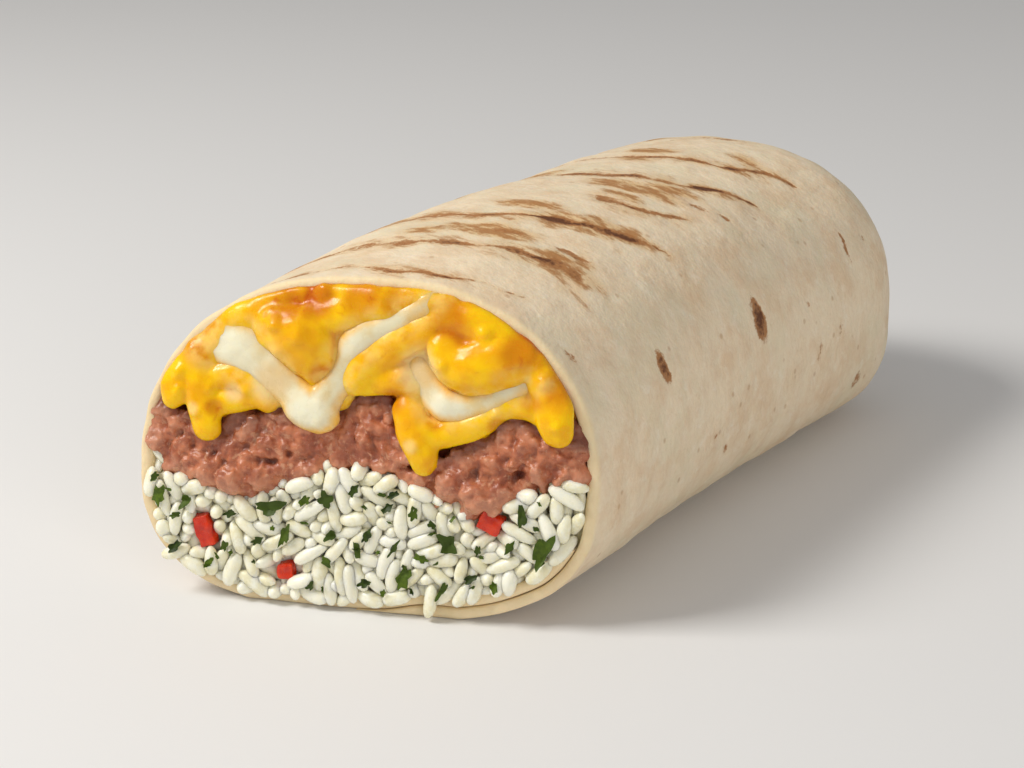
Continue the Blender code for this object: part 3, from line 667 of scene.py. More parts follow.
def filling_block():
    """The space inside the tortilla, from the cut back to the tucked end, a little into its wall."""
    steps = 120
    angles = np.radians(np.linspace(-180, 180, steps, endpoint=False))
    rings = []
    for v in (0.002, 0.1, 0.2, 0.3, 0.4, 0.5, 0.6, 0.65, 0.7, 0.75):
        here, inward = with_inward(angles, np.full(steps, v))
        rings.append(here + inward * (wall_depth(np.degrees(angles)) - 0.3 * MM)[:, None])
    points = np.concatenate(rings)
    faces = ring_faces(len(rings), steps)
    faces.append(list(range(steps))[::-1])
    faces.append([len(points) - steps + k for k in range(steps)])
    return mesh_object("filling_block", points, faces, False)


def core(name, lower, upper, recess):
    """One layer of filling that runs back through the roll, as a closed body."""
    xs = np.linspace(-44, 44, 45) * MM
    low, high = lower(xs), upper(xs)
    front_low, front_high = on_cut(xs, low, -recess), on_cut(xs, high, -recess)
    back_low = np.stack((xs, np.full_like(xs, FILLING_END), low), axis=-1)
    back_high = np.stack((xs, np.full_like(xs, FILLING_END), high), axis=-1)
    loops = np.stack((front_low, front_high, back_high, back_low), axis=1)
    last = (len(xs) - 1) * 4
    faces = ring_faces(len(xs), 4) + [(3, 2, 1, 0), (last, last + 1, last + 2, last + 3)]
    obj = mesh_object(name, loops.reshape(-1, 3), faces, False)
    return boolean(facing_out(obj), "INTERSECT", facing_out(filling_block()))


def facing_out(obj, in_triangles=True):
    bm = bmesh.new()
    bm.from_mesh(obj.data)
    if in_triangles:
        bmesh.ops.triangulate(bm, faces=bm.faces)
    bmesh.ops.recalc_face_normals(bm, faces=bm.faces)
    bm.to_mesh(obj.data)
    bm.free()
    return obj


def spread(rng, spacing, jitter):
    """Places on the face inside the tortilla, on a jittered grid, in millimetres."""
    for row in range(int(60 / spacing)):
        for column in range(int(80 / spacing)):
            x = -40 + (column + 0.5 * (row % 2)) * spacing + rng.uniform(-jitter, jitter)
            z = row * spacing + rng.uniform(-jitter, jitter)
            if wall_room(x * MM, z * MM) > 0.4 * MM:
                yield x, z


# Layers of mash on the face, as (spacing, radii, out, beads in a strand), and single lumps.
BEAN_LAYERS = [(2.4, (1.8, 2.3), -0.9, 1), (3.0, (1.1, 1.7), 0.2, 3), (3.4, (0.8, 1.4), 0.95, 3)]
BEAN_LUMPS = [
    (-21, 20.8, 1.2, 3.0), (-25, 21.6, 0.8, 2.8), (-16.6, 21.6, 0.9, 2.8), (19, 21.8, 1.2, 3.2),
    (14.6, 23, 0.9, 2.8),
]


def bean_balls():
    """A closed bed of balls, and over it short strands and lumps of mash."""
    rng = random.Random(21)
    balls = list(BEAN_LUMPS)
    for spacing, radii, out, beads in BEAN_LAYERS:
        room, hang = (0.3, 0.65) if beads > 1 else (-1.0, 0.25)
        for x, z in spread(rng, spacing, spacing * 0.4):
            radius, lift = rng.uniform(*radii), rng.uniform(-0.5, 0.6)
            turn = math.radians(rng.gauss(35, 40))
            low, high = beans_bottom(x * MM) / MM, beans_top(x * MM) / MM
            if not low + hang * radius < z < high - room:
                continue
            lift -= 1.4 * math.exp(-((x - 1.5) ** 2 + (z - 34.5) ** 2) / 5)
            sag = 0.8 * math.exp(-((x + 21) / 6) ** 2) + 0.8 * math.exp(-((x - 19) / 6) ** 2)
            for bead in range(beads):
                from_middle = bead - (beads - 1) / 2
                along = from_middle * radius * 1.1
                across, up = x + along * math.cos(turn), z + along * math.sin(turn)
                if up < beans_top(across * MM) / MM - room:
                    tip = 0.35 * abs(from_middle)
                    forward = out + lift - tip + sag * (z < low + 8)
                    balls.append((across, up, forward, radius * (1 - 0.2 * tip)))
    return balls


def yellow_balls():
    """The drips and ridges, a low bed under the white strands, and lumps that fill in over the beans."""
    rng = random.Random(5)
    balls = [ball for path in YELLOW_PATHS for ball in along_path(path)]
    for path in [path for paths in WHITE_PATHS.values() for path in paths]:
        for x, z, out, radius in along_path(path):
            if z > 37 or x > 0:
                balls.append((x, z, out - 1.3 - 0.1 * radius, radius + 1.0))
    for x, z in spread(rng, 2.8, 1.0):
        radius = rng.uniform(2.0, 3.0)
        if z > beans_top(x * MM) / MM + radius * 0.5:
            near_rim = 1 - smooth(1.0, 5.0, wall_room(x * MM, z * MM) / MM)
            balls.append((x, z, rng.uniform(-1.3, -0.1) + 0.7 * near_rim, radius))
    return balls


def noisy(obj, layers):
    """Pushes the points in front of the cut in and out with noise: (size, height) in millimetres."""
    points, normals = points_of(obj), normals_of(obj)
    front = points[:, 1] < cut_y(points[:, 0], points[:, 2]) + 6 * MM
    for number, (size, height) in enumerate(layers):
        push = noise_at(points[front], size * MM, 3.0 * number) * height * MM
        points[front] += normals[front] * push[:, None]
    set_points(obj, points)
    return obj


def on_core(relief, body):
    """A melted or mashed face, joined to what stands behind it."""
    boolean(facing_out(relief), "UNION", body)
    relief.data.shade_smooth()
    return relief


def beans_piece():
    relief = run_together(balls_mesh("beans_mash", bean_balls(), 0.85), 0.38 * MM, 1)
    noisy(relief, [(2.4, 0.5), (1.2, 0.45), (0.7, 0.25)])
    return on_core(relief, core("beans_core", beans_bottom, beans_top, 0.6 * MM))


def pushed(obj, spots):
    """Bulges and dimples in the melted face: (across, up, reach, height) in millimetres."""
    points = points_of(obj)
    x, z, out = face_places(obj)
    rise = np.zeros_like(x)
    for across, up, reach, height in spots:
        gap = np.hypot(x / MM - across, z / MM - up)
        rise += height * (1 - smooth(0, reach, gap))
    rise *= smooth(-4, -1, out / MM)
    set_points(obj, points + (rise * MM)[:, None] * NORMAL)


def yellow_piece():
    relief = run_together(balls_mesh("cheese_yellow_melt", yellow_balls(), 0.6), 0.36 * MM, 7)
    noisy(relief, [(6.0, 0.5), (2.5, 0.16)])
    pushed(relief, BULGES + [(x, z, reach, -0.45 * strength) for x, z, reach, strength in SHADED_DIMPLES])
    return on_core(relief, core("yellow_core", beans_top, lambda x: x * 0 + 70 * MM, 1.0 * MM))


def white_piece(node):
    balls = [ball for path in WHITE_PATHS[node] for ball in along_path(path)]
    relief = run_together(balls_mesh(node + "_melt", balls, 0.5), 0.3 * MM, 6)
    noisy(relief, [(5.0, 0.5), (2.0, 0.14)])
    (x, z), (half_width, half_height) = WHITE_RODS[node]
    front, back = cut_y(x * MM, z * MM), FILLING_END - 6 * MM
    stretch = Matrix.Diagonal((half_width * MM, back - front, half_height * MM, 1))
    place = Matrix.Translation(Vector((x * MM, (front + back) / 2, z * MM)) + Vector(ORIGIN_SHIFT))
    shape = place @ stretch @ Matrix.Rotation(math.pi / 2, 4, "X")
    bm = bmesh.new()
    bmesh.ops.create_cone(bm, cap_ends=True, segments=24, radius1=1, radius2=1, depth=1, matrix=shape)
    return on_core(relief, facing_out(from_bmesh("rod", bm)))


# The rice.

GRAIN_RADIUS = 1.25 * MM
GRAIN_LENGTHS = (4.6 * MM, 6.9 * MM)
# Each grain is settled as three beads along it, which may overlap their neighbours a little.
BEADS = np.array((-1.0, 0.0, 1.0))
CLOSENESS, SETTLE_ROUNDS, BLOCK = 0.88, 60, 400
# Sheets of grains, as (spacing, out), and grains that lie over them, as (across, up, out, turn).
GRAIN_SHEETS = [(2.5, -2.8), (2.7, -1.2), (3.1, 0.3)]
STRAYS = [
    (-30.2, 7.4, 1.3, 22), (12.4, 3.4, 1.5, 84), (-20.4, 5.2, 1.3, 70), (-8.8, 4.6, 1.3, 20),
    (17.6, 5.0, 1.3, 60), (-0.6, 4.8, 1.3, 100), (31.6, 20.5, 0.9, 95), (33.2, 17.5, 0.7, 80),
]


def rice_start(rng):
    """First places of the grains: loose sheets, one behind the other."""
    rows = []
    for spacing, out in GRAIN_SHEETS:
        for x, z in spread(rng, spacing, 0.8):
            if z > beans_bottom(x * MM) / MM + 0.4 - 0.9 * (out > 0):
                continue
            rows.append((x, z, out + rng.uniform(-0.4, 0.4), rng.uniform(0, 180), rng.gauss(0, 30)))
    return rows


def bead_places(centres, axes, halves):
    """The middles of every grain's three beads."""
    reach = (halves - GRAIN_RADIUS)[:, None, None]
    return centres[:, None, :] + axes[:, None, :] * BEADS[None, :, None] * reach


def on_pepper(x, z):
    """Which places on the face lie under a die of pepper, with room to spare."""
    inside = np.zeros(np.shape(x), dtype=bool)
    for (across, up), turn, (wide, high, _) in PEPPERS:
        c, s = math.cos(math.radians(turn)), math.sin(math.radians(turn))
        dx, dz = x / MM - across, z / MM - up
        inside |= (np.abs(dx * c + dz * s) < wide / 2 + 0.6) & (np.abs(dz * c - dx * s) < high / 2 + 0.6)
    return inside


def settle(centres, axes, halves, fixed):
    """Pushes overlapping grains apart, and keeps them inside the tortilla and under the beans."""
    count = len(centres)
    owner = np.repeat(np.arange(count), 3)
    nearest = 2 * GRAIN_RADIUS * CLOSENESS
    for _ in range(SETTLE_ROUNDS):
        beads = bead_places(centres, axes, halves).reshape(-1, 3)
        push = np.zeros_like(beads)
        for start in range(0, len(beads), BLOCK):
            block = slice(start, start + BLOCK)
            apart = beads[block, None, :] - beads[None, :, :]
            distance = np.sqrt(np.sum(apart**2, axis=-1)) + 1e-9
            touching = (distance < nearest) & (owner[block, None] != owner[None, :])
            amount = np.where(touching, (nearest - distance) / distance * 0.35, 0)
            push[block] = np.sum(apart * amount[..., None], axis=1)
        length = np.linalg.norm(push, axis=1)
        push *= (np.minimum(length, 0.5 * MM) / np.maximum(length, 1e-9))[:, None]
        beads = beads + push
        x, z, out = from_cut(beads)
        margin = np.where(out > 0.4 * MM, 0.1 * MM, GRAIN_RADIUS * 0.75)
        x, z = kept_inside(x, z, margin)
        z = np.minimum(z, beans_bottom(x) + np.where(out > 0.3 * MM, -0.4 * MM, 1.2 * MM))
        out = np.clip(out, -3.8 * MM, 1.2 * MM)
        out = np.where(on_pepper(x, z), np.minimum(out, -1.3 * MM), out)
        beads = on_cut(x, z, out).reshape(count, 3, 3)
        moved = beads.mean(axis=1)
        turned = beads[:, 2] - beads[:, 0]
        turned /= np.linalg.norm(turned, axis=1)[:, None]
        centres = np.where(fixed[:, None], centres, moved)
        axes = np.where(fixed[:, None], axes, turned)
    return centres, axes


def grain_mesh(rng, radius, half):
    """One cooked grain along X: blunt at one end, slimmer at the other, and a little bent."""
    rings, sides = 9, 12
    t = np.sin(np.linspace(-1, 1, rings) * math.pi / 2)
    taper = np.sqrt(np.maximum(1 - np.abs(t) ** 2.7, 0)) * (1 + rng.uniform(-0.18, 0.18) * t)
    bend = rng.uniform(-0.3, 0.3) * radius
    flat = rng.uniform(0.82, 1.0)
    turn = np.linspace(0, 2 * math.pi, sides, endpoint=False)
    waist = 1 + 0.05 * np.sin(2 * turn + rng.uniform(0, 6))
    points = []
    for tk, rk in zip(t[1:-1], taper[1:-1]):
        ring = radius * rk * waist
        bent = ring * np.cos(turn) + bend * (1 - tk * tk)
        points.append(np.stack((np.full(sides, tk * half), bent, ring * flat * np.sin(turn)), axis=-1))
    points = np.concatenate(points + [np.array([[-half, 0, 0], [half, 0, 0]])])
    faces = ring_faces(rings - 2, sides)
    first, last = len(points) - 2, len(points) - 1
    end = (rings - 3) * sides
    faces += [(first, (k + 1) % sides, k) for k in range(sides)]
    faces += [(last, end + k, end + (k + 1) % sides) for k in range(sides)]
    return points, faces


def rice_grains():
    """The grains as one piece, and the beads that tell how high the heap stands."""
    rng = random.Random(41)
    every = [(*stray, 0) for stray in STRAYS] + rice_start(rng)
    x, z, out, turn, lean = (np.array(column, dtype=float) for column in zip(*every))
    turn, lean = np.radians(turn), np.radians(lean)
    centres = on_cut(x * MM, z * MM, out * MM)
    in_face = np.cos(turn)[:, None] * ACROSS + np.sin(turn)[:, None] * UP
    axes = np.cos(lean)[:, None] * in_face + np.sin(lean)[:, None] * NORMAL
    halves = np.array([rng.uniform(*GRAIN_LENGTHS) / 2 for _ in every])
    fixed = np.arange(len(every)) < len(STRAYS)
    centres, axes = settle(centres, axes, halves, fixed)
    points, faces, tones, total = [], [], [], 0
    for centre, axis, half in zip(centres, axes, halves):
        shape, quads = grain_mesh(rng, GRAIN_RADIUS * rng.uniform(0.92, 1.12), half)
        side = np.cross(axis, NORMAL)
        side /= max(np.linalg.norm(side), 1e-6)
        roll = rng.uniform(0, 2 * math.pi)
        other = np.cross(axis, side)
        first = math.cos(roll) * side + math.sin(roll) * other
        second = np.cross(axis, first)
        points.append(centre + shape @ np.stack((axis, first, second)))
        faces += [tuple(total + k for k in face) for face in quads]
        tones += [rng.random()] * len(shape)
        total += len(shape)
    obj = mesh_object("rice_grains", np.concatenate(points), faces)
    set_attribute(obj, "tone", tones)
    return obj, bead_places(centres, axes, halves).reshape(-1, 3)


class Heap:
    """Tells how far the rice stands out of the cut face at a place."""

    def __init__(self, beads):
        self.x, self.z, self.out = from_cut(beads)

    def height(self, x, z, reach=1.3 * GRAIN_RADIUS):
        gap = np.hypot(self.x - x, self.z - z)
        near = gap < reach
        if not near.any():
            return -1.5 * MM
        highest = float(np.max(self.out[near] + np.sqrt(reach**2 - gap[near] ** 2)))
        return highest + GRAIN_RADIUS * 1.05 - reach


# Flakes of herb on the face, as (across, up, turn, length, width), and dice of pepper, each with its
# place, its turn and its size across, up and back.
HERBS = [
    (-33, 17, 80, 4.0, 2.2), (-28.5, 16.5, 60, 2.8, 1.6), (-30, 14, 20, 2.0, 1.2), (-34, 20, 60, 1.8, 1.2),
    (-14, 17, 12, 5.0, 2.4), (-8.5, 18.5, 50, 2.2, 1.4), (-5, 19, 95, 3.0, 2.6), (-0.5, 21, 60, 2.4, 1.4),
    (-11.5, 12.5, 75, 4.2, 1.6), (-16, 11, 35, 2.2, 1.4), (-30, 8.5, 45, 2.8, 1.6),
    (-21.5, 9.5, 70, 2.2, 1.2), (-4, 13, 40, 2.4, 1.6), (-4.5, 8.5, 120, 2.2, 1.4),
    (2, 13.5, 65, 2.6, 1.3), (0.5, 11, 100, 3.2, 1.1), (6.5, 12, 60, 3.4, 0.9), (11, 10.7, -20, 2.6, 1.4),
    (9.4, 18.2, 85, 2.6, 1.5), (15.2, 13.6, -50, 4.2, 2.8), (5, 18.5, 40, 2.2, 1.3),
    (8.3, 7, 70, 4.4, 2.4), (2, 5.6, 20, 2.4, 1.5), (-7, 4, 60, 2.0, 1.2), (14.6, 5.6, 62, 4.2, 1.0),
    (19, 8, 30, 2.4, 1.4), (23, 7.2, 110, 2.2, 1.2), (25, 14, 60, 2.4, 1.4), (26.6, 19.3, 100, 4.0, 1.6),
    (30.3, 14, 68, 6.0, 3.0), (6, 21, 30, 2.2, 1.2), (-21, 15, 20, 2.4, 1.4), (-24, 6.5, 50, 1.8, 1.1),
    (20, 13, 80, 1.8, 1.0), (-18, 19, 0, 1.6, 1.0), (12.5, 16.5, 140, 1.8, 1.0),
]
PEPPERS = [
    ((-25.5, 11.4), 17, (2.9, 5.4, 2.4)), ((-11.6, 5.9), 5, (2.7, 2.7, 2.2)),
    ((21.4, 17.4), -25, (4.0, 3.4, 2.4)),
]


FLAKE_RINGS, FLAKE_SIDES, FLAKE_THICKNESS = 5, 18, 0.16 * MM


def flake_points(rng, heap, x, z, turn, length, width):
    """A torn leaf's upper points, laid over the heap of rice, and its tone."""
    lobes = rng.randint(3, 5)
    phase, tone = rng.uniform(0, 6), rng.random()
    angles = np.linspace(0, 2 * math.pi, FLAKE_SIDES, endpoint=False)
    torn = np.array([rng.uniform(-0.16, 0.16) for _ in angles])
    outline = 0.9 + 0.2 * np.sin(lobes * angles + phase) + torn
    curl = rng.uniform(-0.1, 0.5) * MM
    cos_turn, sin_turn = math.cos(math.radians(turn)), math.sin(math.radians(turn))
    places = [(0.0, 0.0)]
    for ring in range(1, FLAKE_RINGS + 1):
        share = ring / FLAKE_RINGS
        for angle, reach in zip(angles, outline):
            a = length / 2 * share * reach * math.cos(angle)
            places.append((a, width / 2 * share * reach * math.sin(angle)))
    spots = [(x + a * cos_turn - b * sin_turn, z + a * sin_turn + b * cos_turn) for a, b in places]
    heights = [heap.height(across * MM, up * MM) for across, up in spots]
    level = np.percentile(heights, 80)
    top = []
    for (a, b), (across, up), height in zip(places, spots, heights):
        away = math.hypot(a / (length / 2), b / (width / 2))
        lying = max(mix(level, max(height, level - 0.8 * MM), 0.6), height)
        top.append(on_cut(across * MM, up * MM, lying + 0.14 * MM + curl * away * away))
    return np.array(top), tone


def flake_faces(count):
    """Faces of a flake whose upper and lower sides have count points each."""
    fan = [(0, 1 + k, 1 + (k + 1) % FLAKE_SIDES) for k in range(FLAKE_SIDES)]
    fan += [(a, d, c, b) for a, b, c, d in ring_faces(FLAKE_RINGS, FLAKE_SIDES, 1)]
    rim = []
    edge = count - FLAKE_SIDES
    for k in range(FLAKE_SIDES):
        here, following = edge + k, edge + (k + 1) % FLAKE_SIDES
        rim.append((here, count + here, count + following, following))
    return fan + [tuple(count + k for k in reversed(face)) for face in fan] + rim


def herb_flakes(heap):
    """Torn flakes of green herb that lie over the grains, and small specks between them."""
    rng = random.Random(8)
    flakes = list(HERBS)
    for x, z in spread(rng, 5.4, 2.6):
        if z < beans_bottom(x * MM) / MM - 1 and rng.random() < 0.75:
            flakes.append((x, z, rng.uniform(0, 180), rng.uniform(0.7, 1.5), rng.uniform(0.4, 0.9)))
    points, faces, tones, total = [], [], [], 0
    for flake in flakes:
        top, tone = flake_points(rng, heap, *flake)
        count = len(top)
        points += [top, top - NORMAL * FLAKE_THICKNESS]
        faces += [tuple(total + k for k in face) for face in flake_faces(count)]
        tones += [tone] * (2 * count)
        total += 2 * count
    obj = mesh_object("herb_flakes", np.concatenate(points), faces)
    set_attribute(obj, "tone", tones)
    return rounded_off(obj)


def pepper_dice():
    """Three dice of red pepper, half sunk among the grains, with soft edges."""
    bm = bmesh.new()
    face = Matrix.Rotation(math.atan(CUT_TURN), 4, "Z")
    for (x, z), turn, (across, up, deep) in PEPPERS:
        place = Matrix.Translation(Vector(on_cut(x * MM, z * MM, 0.5 * MM) + ORIGIN_SHIFT))
        turned = place @ face @ Matrix.Rotation(-math.radians(turn), 4, "Y")
        shape = Matrix.Diagonal((across * MM, deep * MM, up * MM, 1))
        bmesh.ops.create_cube(bm, size=1, matrix=turned @ shape)
    bmesh.ops.subdivide_edges(bm, edges=bm.edges, cuts=1, use_grid_fill=True)
    obj = from_bmesh("pepper_dice", bm)
    bevel = obj.modifiers.new("Soft edges", "BEVEL")
    bevel.width = 0.35 * MM
    bevel.segments = 2
    rounded = obj.modifiers.new("Rounded", "SUBSURF")
    rounded.levels = rounded.render_levels = 2
    bake(obj)
    points, normals = points_of(obj), normals_of(obj)
    points += normals * (noise_at(points, 1.3 * MM) * 0.35 * MM)[:, None]
    set_points(obj, points)
    obj.data.shade_smooth()
    return obj


# Materials.


class Shader:
    """A node material with a Principled surface, and short ways to add nodes. Sizes are in millimetres."""

    def __init__(self, name):
        self.material = bpy.data.materials.new(name)
        self.material.use_nodes = True
        self.tree = self.material.node_tree
        self.surface = self.tree.nodes["Principled BSDF"]

    @cached_property
    def place(self):
        return self.node("ShaderNodeTexCoord").outputs["Object"]

    def link(self, value, socket):
        if isinstance(value, bpy.types.NodeSocket):
            self.tree.links.new(value, socket)
        else:
            socket.default_value = value

    def node(self, kind, inputs=None, **settings):
        """A new node with its settings, whose inputs are values or other nodes' outputs."""
        made = self.tree.nodes.new(kind)
        for key, value in settings.items():
            setattr(made, key, value)
        for key, value in (inputs or {}).items():
            self.link(value, made.inputs[key])
        return made

    def attribute(self, name):
        return self.node("ShaderNodeAttribute", attribute_name=name).outputs["Fac"]

    def math(self, operation, a, b, clamp=False):
        return self.node("ShaderNodeMath", {0: a, 1: b}, operation=operation, use_clamp=clamp).outputs[0]

    def noise(self, size, detail=3.0, roughness=0.55, distortion=0.0, at=None):
        """Noise whose features are about this size across."""
        inputs = {"Vector": self.place if at is None else at, "Scale": 1 / (size * MM), "Detail": detail}
        inputs.update({"Roughness": roughness, "Distortion": distortion})
        return self.node("ShaderNodeTexNoise", inputs).outputs["Fac"]

    def spread(self, value, low, high, to_low=0.0, to_high=1.0):
        """The value, taken smoothly from one range to another."""
        inputs = {"Value": value, "From Min": low, "From Max": high, "To Min": to_low, "To Max": to_high}
        return self.node("ShaderNodeMapRange", inputs, interpolation_type="SMOOTHSTEP").outputs["Result"]

    def uneven(self, size, detail, to_low, to_high):
        return self.spread(self.noise(size, detail), 0.3, 0.7, to_low, to_high)

    def blend(self, share, a, b):
        """A colour from a to b: the Mix node has its colours in sockets 6 and 7, and the result in 2."""
        return self.node("ShaderNodeMix", {0: share, 6: a, 7: b}, data_type="RGBA").outputs[2]

    def finished(self, colour, rough, bump, below=None, specular=0.5):
        """The material: bump is (height, distance), and below is its subsurface (share, reach, scale)."""
        values = {"Base Color": colour, "Roughness": rough, "Specular IOR Level": specular}
        if below:
            share, reach, scale = below
            values.update({"Subsurface Weight": share, "Subsurface Radius": reach})
            values["Subsurface Scale"] = scale * MM
        height, distance = bump
        bumped = self.node("ShaderNodeBump", {"Distance": distance * MM, "Height": height})
        values["Normal"] = bumped.outputs["Normal"]
        for name, value in values.items():
            self.link(value, self.surface.inputs[name])
        return self.material


def srgb(*levels):
    """The linear colour that a picture shows as these levels of red, green and blue, 0 to 255."""
    shares = [level / 255 for level in levels]
    return (*(share / 12.92 if share < 0.0404 else ((share + 0.055) / 1.055) ** 2.4 for share in shares), 1)


def flour(s, fine):
    """The colour of the plain sheet: mottled, dusted with flour, with a few small brown specks."""
    base = s.blend(s.spread(s.noise(9, 6, 0.66), 0.4, 0.66), srgb(238, 220, 190), srgb(228, 202, 168))
    base = s.blend(s.math("MULTIPLY", fine, 0.2), base, srgb(216, 184, 146))
    cool = s.spread(s.noise(14, 4, 0.6, 0.5), 0.45, 0.65, 0, 0.5)
    base = s.blend(cool, base, srgb(226, 214, 182))
    dust = s.spread(s.noise(4.2, 6, 0.75, 0.4), 0.52, 0.72, 0, 0.55)
    base = s.blend(dust, base, srgb(244, 232, 210))
    cells = {"Vector": s.place, "Scale": 1 / (5.5 * MM), "Randomness": 1}
    speck = s.node("ShaderNodeTexVoronoi", cells, feature="F1").outputs["Distance"]
    return s.blend(s.spread(speck, 0.05, 0.13, 0.42, 0), base, srgb(176, 132, 84))


def griddled(s, base, broad, patchy, ragged):
    """The griddle's marks: tan patches, then brown edges and dark middles."""
    toast = s.blend(s.spread(broad, 0.05, 0.7, 0, 0.7), base, srgb(220, 180, 122))
    marked = s.math("MULTIPLY", s.spread(patchy, 0.25, 0.85), s.spread(broad, 0.08, 0.45, 0, 0.9))
    toast = s.blend(marked, toast, srgb(172, 118, 66))
    edge = s.blend(s.spread(ragged, 0.22, 0.52, 0, 0.95), toast, srgb(168, 114, 66))
    return s.blend(s.spread(ragged, 0.6, 0.95, 0, 0.92), edge, srgb(92, 50, 26))


def tortilla_material():
    s = Shader("tortilla")
    sharp, broad = s.attribute("streak"), s.attribute("patch")
    grit = s.math("SUBTRACT", s.noise(1.1, 5, 0.7), 0.5)
    ragged = s.math("ADD", sharp, s.math("MULTIPLY", grit, 1.3))
    slanted = {"Vector": s.place, "Rotation": (0, 0, math.radians(20)), "Scale": (0.4, 1, 0.4)}
    stretched = s.node("ShaderNodeMapping", slanted).outputs["Vector"]
    blotch = s.math("SUBTRACT", s.noise(2.0, 5, 0.74, at=stretched), 0.5)
    patchy = s.math("ADD", broad, s.math("MULTIPLY", blotch, 3.4))
    fine = s.spread(s.noise(1.3, 4, 0.7), 0.3, 0.72)
    dark = griddled(s, flour(s, fine), broad, patchy, ragged)
    pale = s.blend(s.noise(2.2, 4, 0.6), srgb(238, 220, 180), srgb(226, 200, 150))
    colour = s.blend(s.attribute("rim"), dark, pale)
    height = s.math("ADD", s.math("MULTIPLY", s.noise(0.9, 3, 0.6), 0.22), s.noise(4.5, 3, 0.5))
    pitted = s.math("SUBTRACT", height, s.math("MULTIPLY", sharp, 0.35))
    rough = s.spread(fine, 0, 1, 0.62, 0.8)
    return s.finished(colour, rough, (pitted, 0.5), (0.12, (1.0, 0.6, 0.35), 1.2), 0.35)


def rice_material():
    s = Shader("rice")
    body = s.blend(s.attribute("tone"), srgb(246, 243, 224), srgb(226, 219, 182))
    cloudy = s.blend(s.spread(s.noise(1.6), 0.35, 0.7), body, srgb(239, 238, 220))
    # Painted shade, warm and olive, in the hollows between the grains.
    colour = s.blend(s.attribute("low"), cloudy, srgb(180, 160, 96))
    bump = (s.noise(0.7), 0.05)
    return s.finished(colour, s.uneven(0.9, 2, 0.24, 0.4), bump, (0.7, (1.0, 0.95, 0.75), 1.5))


def rice_bed_material():
    s = Shader("rice_bed")
    # The bed stands for the rice behind the grains and shows in the gaps; its darker olive is a painted shade
    # there.
    colour = s.blend(s.uneven(2.2, 4, 0, 1), srgb(226, 218, 176), srgb(190, 180, 132))
    bump = (s.noise(2.0, 4), 0.4)
    return s.finished(colour, s.uneven(0.9, 2, 0.3, 0.5), bump, (0.3, (1.0, 0.95, 0.8), 1.0))


def herb_material():
    s = Shader("herb")
    leaf = s.blend(s.attribute("tone"), srgb(36, 50, 14), srgb(86, 108, 22))
    colour = s.blend(s.spread(s.noise(0.7), 0.4, 0.62, 0, 0.75), leaf, srgb(58, 76, 18))
    return s.finished(colour, s.uneven(0.5, 2, 0.4, 0.6), (s.noise(0.4), 0.08), specular=0.25)


def pepper_material():
    s = Shader("pepper")
    colour = s.blend(s.spread(s.noise(1.4), 0.35, 0.7), srgb(216, 58, 18), srgb(190, 36, 12))
    return s.finished(colour, s.uneven(0.7, 2, 0.2, 0.36), (s.noise(0.8), 0.08), (0.3, (1.0, 0.25, 0.1), 1.0))


def bean_material():
    s = Shader("beans")
    mash = s.blend(s.spread(s.noise(2.6, 4, 0.6), 0.36, 0.64), srgb(190, 116, 80), srgb(152, 82, 56))
    skins = s.spread(s.noise(1.5, 4, 0.7, 1.0), 0.55, 0.68, 0, 0.7)
    mash = s.blend(skins, mash, srgb(208, 154, 120))
    # Painted highlight, light tan, on the raised lumps of the mash.
    mash = s.blend(s.math("MULTIPLY", s.attribute("painted_highlight"), 0.4), mash, srgb(214, 158, 126))
    # Painted shade, dark brown, in the hollows of the mash and under the cheese.
    colour = s.blend(s.attribute("painted_shade"), mash, srgb(88, 38, 26))
    bump = (s.noise(1.1, 4, 0.6), 0.2)
    return s.finished(colour, s.uneven(1.2, 3, 0.22, 0.5), bump, (0.15, (1.0, 0.45, 0.3), 1.0))


def yellow_material():
    s = Shader("cheese_yellow")
    bright = s.blend(s.spread(s.noise(5, 3, 0.5), 0.36, 0.66), srgb(249, 199, 4), srgb(236, 172, 4))
    # Painted shade: deep orange in the valleys and at the shaded dimples, and random deeper orange from
    # noise.
    low = s.math("MULTIPLY", s.attribute("low"), 0.7)
    deep = s.math("ADD", s.math("MULTIPLY", s.attribute("deep"), 0.8), low)
    deep = s.math("ADD", deep, s.spread(s.noise(2.6, 4, 0.6, 0.8), 0.56, 0.76, 0, 0.3), clamp=True)
    colour = s.blend(deep, bright, srgb(196, 98, 2))
    creamy = s.math("MULTIPLY", s.attribute("creamy"), s.spread(s.noise(3.0), 0.35, 0.65, 0, 0.85))
    colour = s.blend(creamy, colour, srgb(244, 202, 104))
    # Pale beige patches, partly the cheese's own colour and partly painted highlight.
    colour = s.blend(s.attribute("pale"), colour, srgb(236, 208, 150))
    bump = (s.noise(2.0, 3, 0.5), 0.12)
    return s.finished(colour, s.uneven(1.8, 3, 0.18, 0.34), bump, (0.4, (1.0, 0.45, 0.06), 2.0), 0.3)


def white_material():
    s = Shader("cheese_white")
    colour = s.blend(s.spread(s.noise(3.2, 3, 0.5), 0.4, 0.7), srgb(226, 217, 184), srgb(220, 200, 150))
    # Painted highlight where the white strands stand up.
    colour = s.blend(s.attribute("bright"), colour, srgb(236, 232, 206))
    thin = s.math("MULTIPLY", s.attribute("edge"), s.uneven(2.4, 3, 0.5, 1.0))
    colour = s.blend(s.attribute("beige"), colour, srgb(228, 196, 138))
    colour = s.blend(thin, colour, srgb(240, 186, 74))
    bump = (s.noise(2.0, 3, 0.5), 0.1)
    return s.finished(colour, s.uneven(1.8, 3, 0.22, 0.38), bump, (0.4, (1.0, 0.85, 0.55), 2.0))
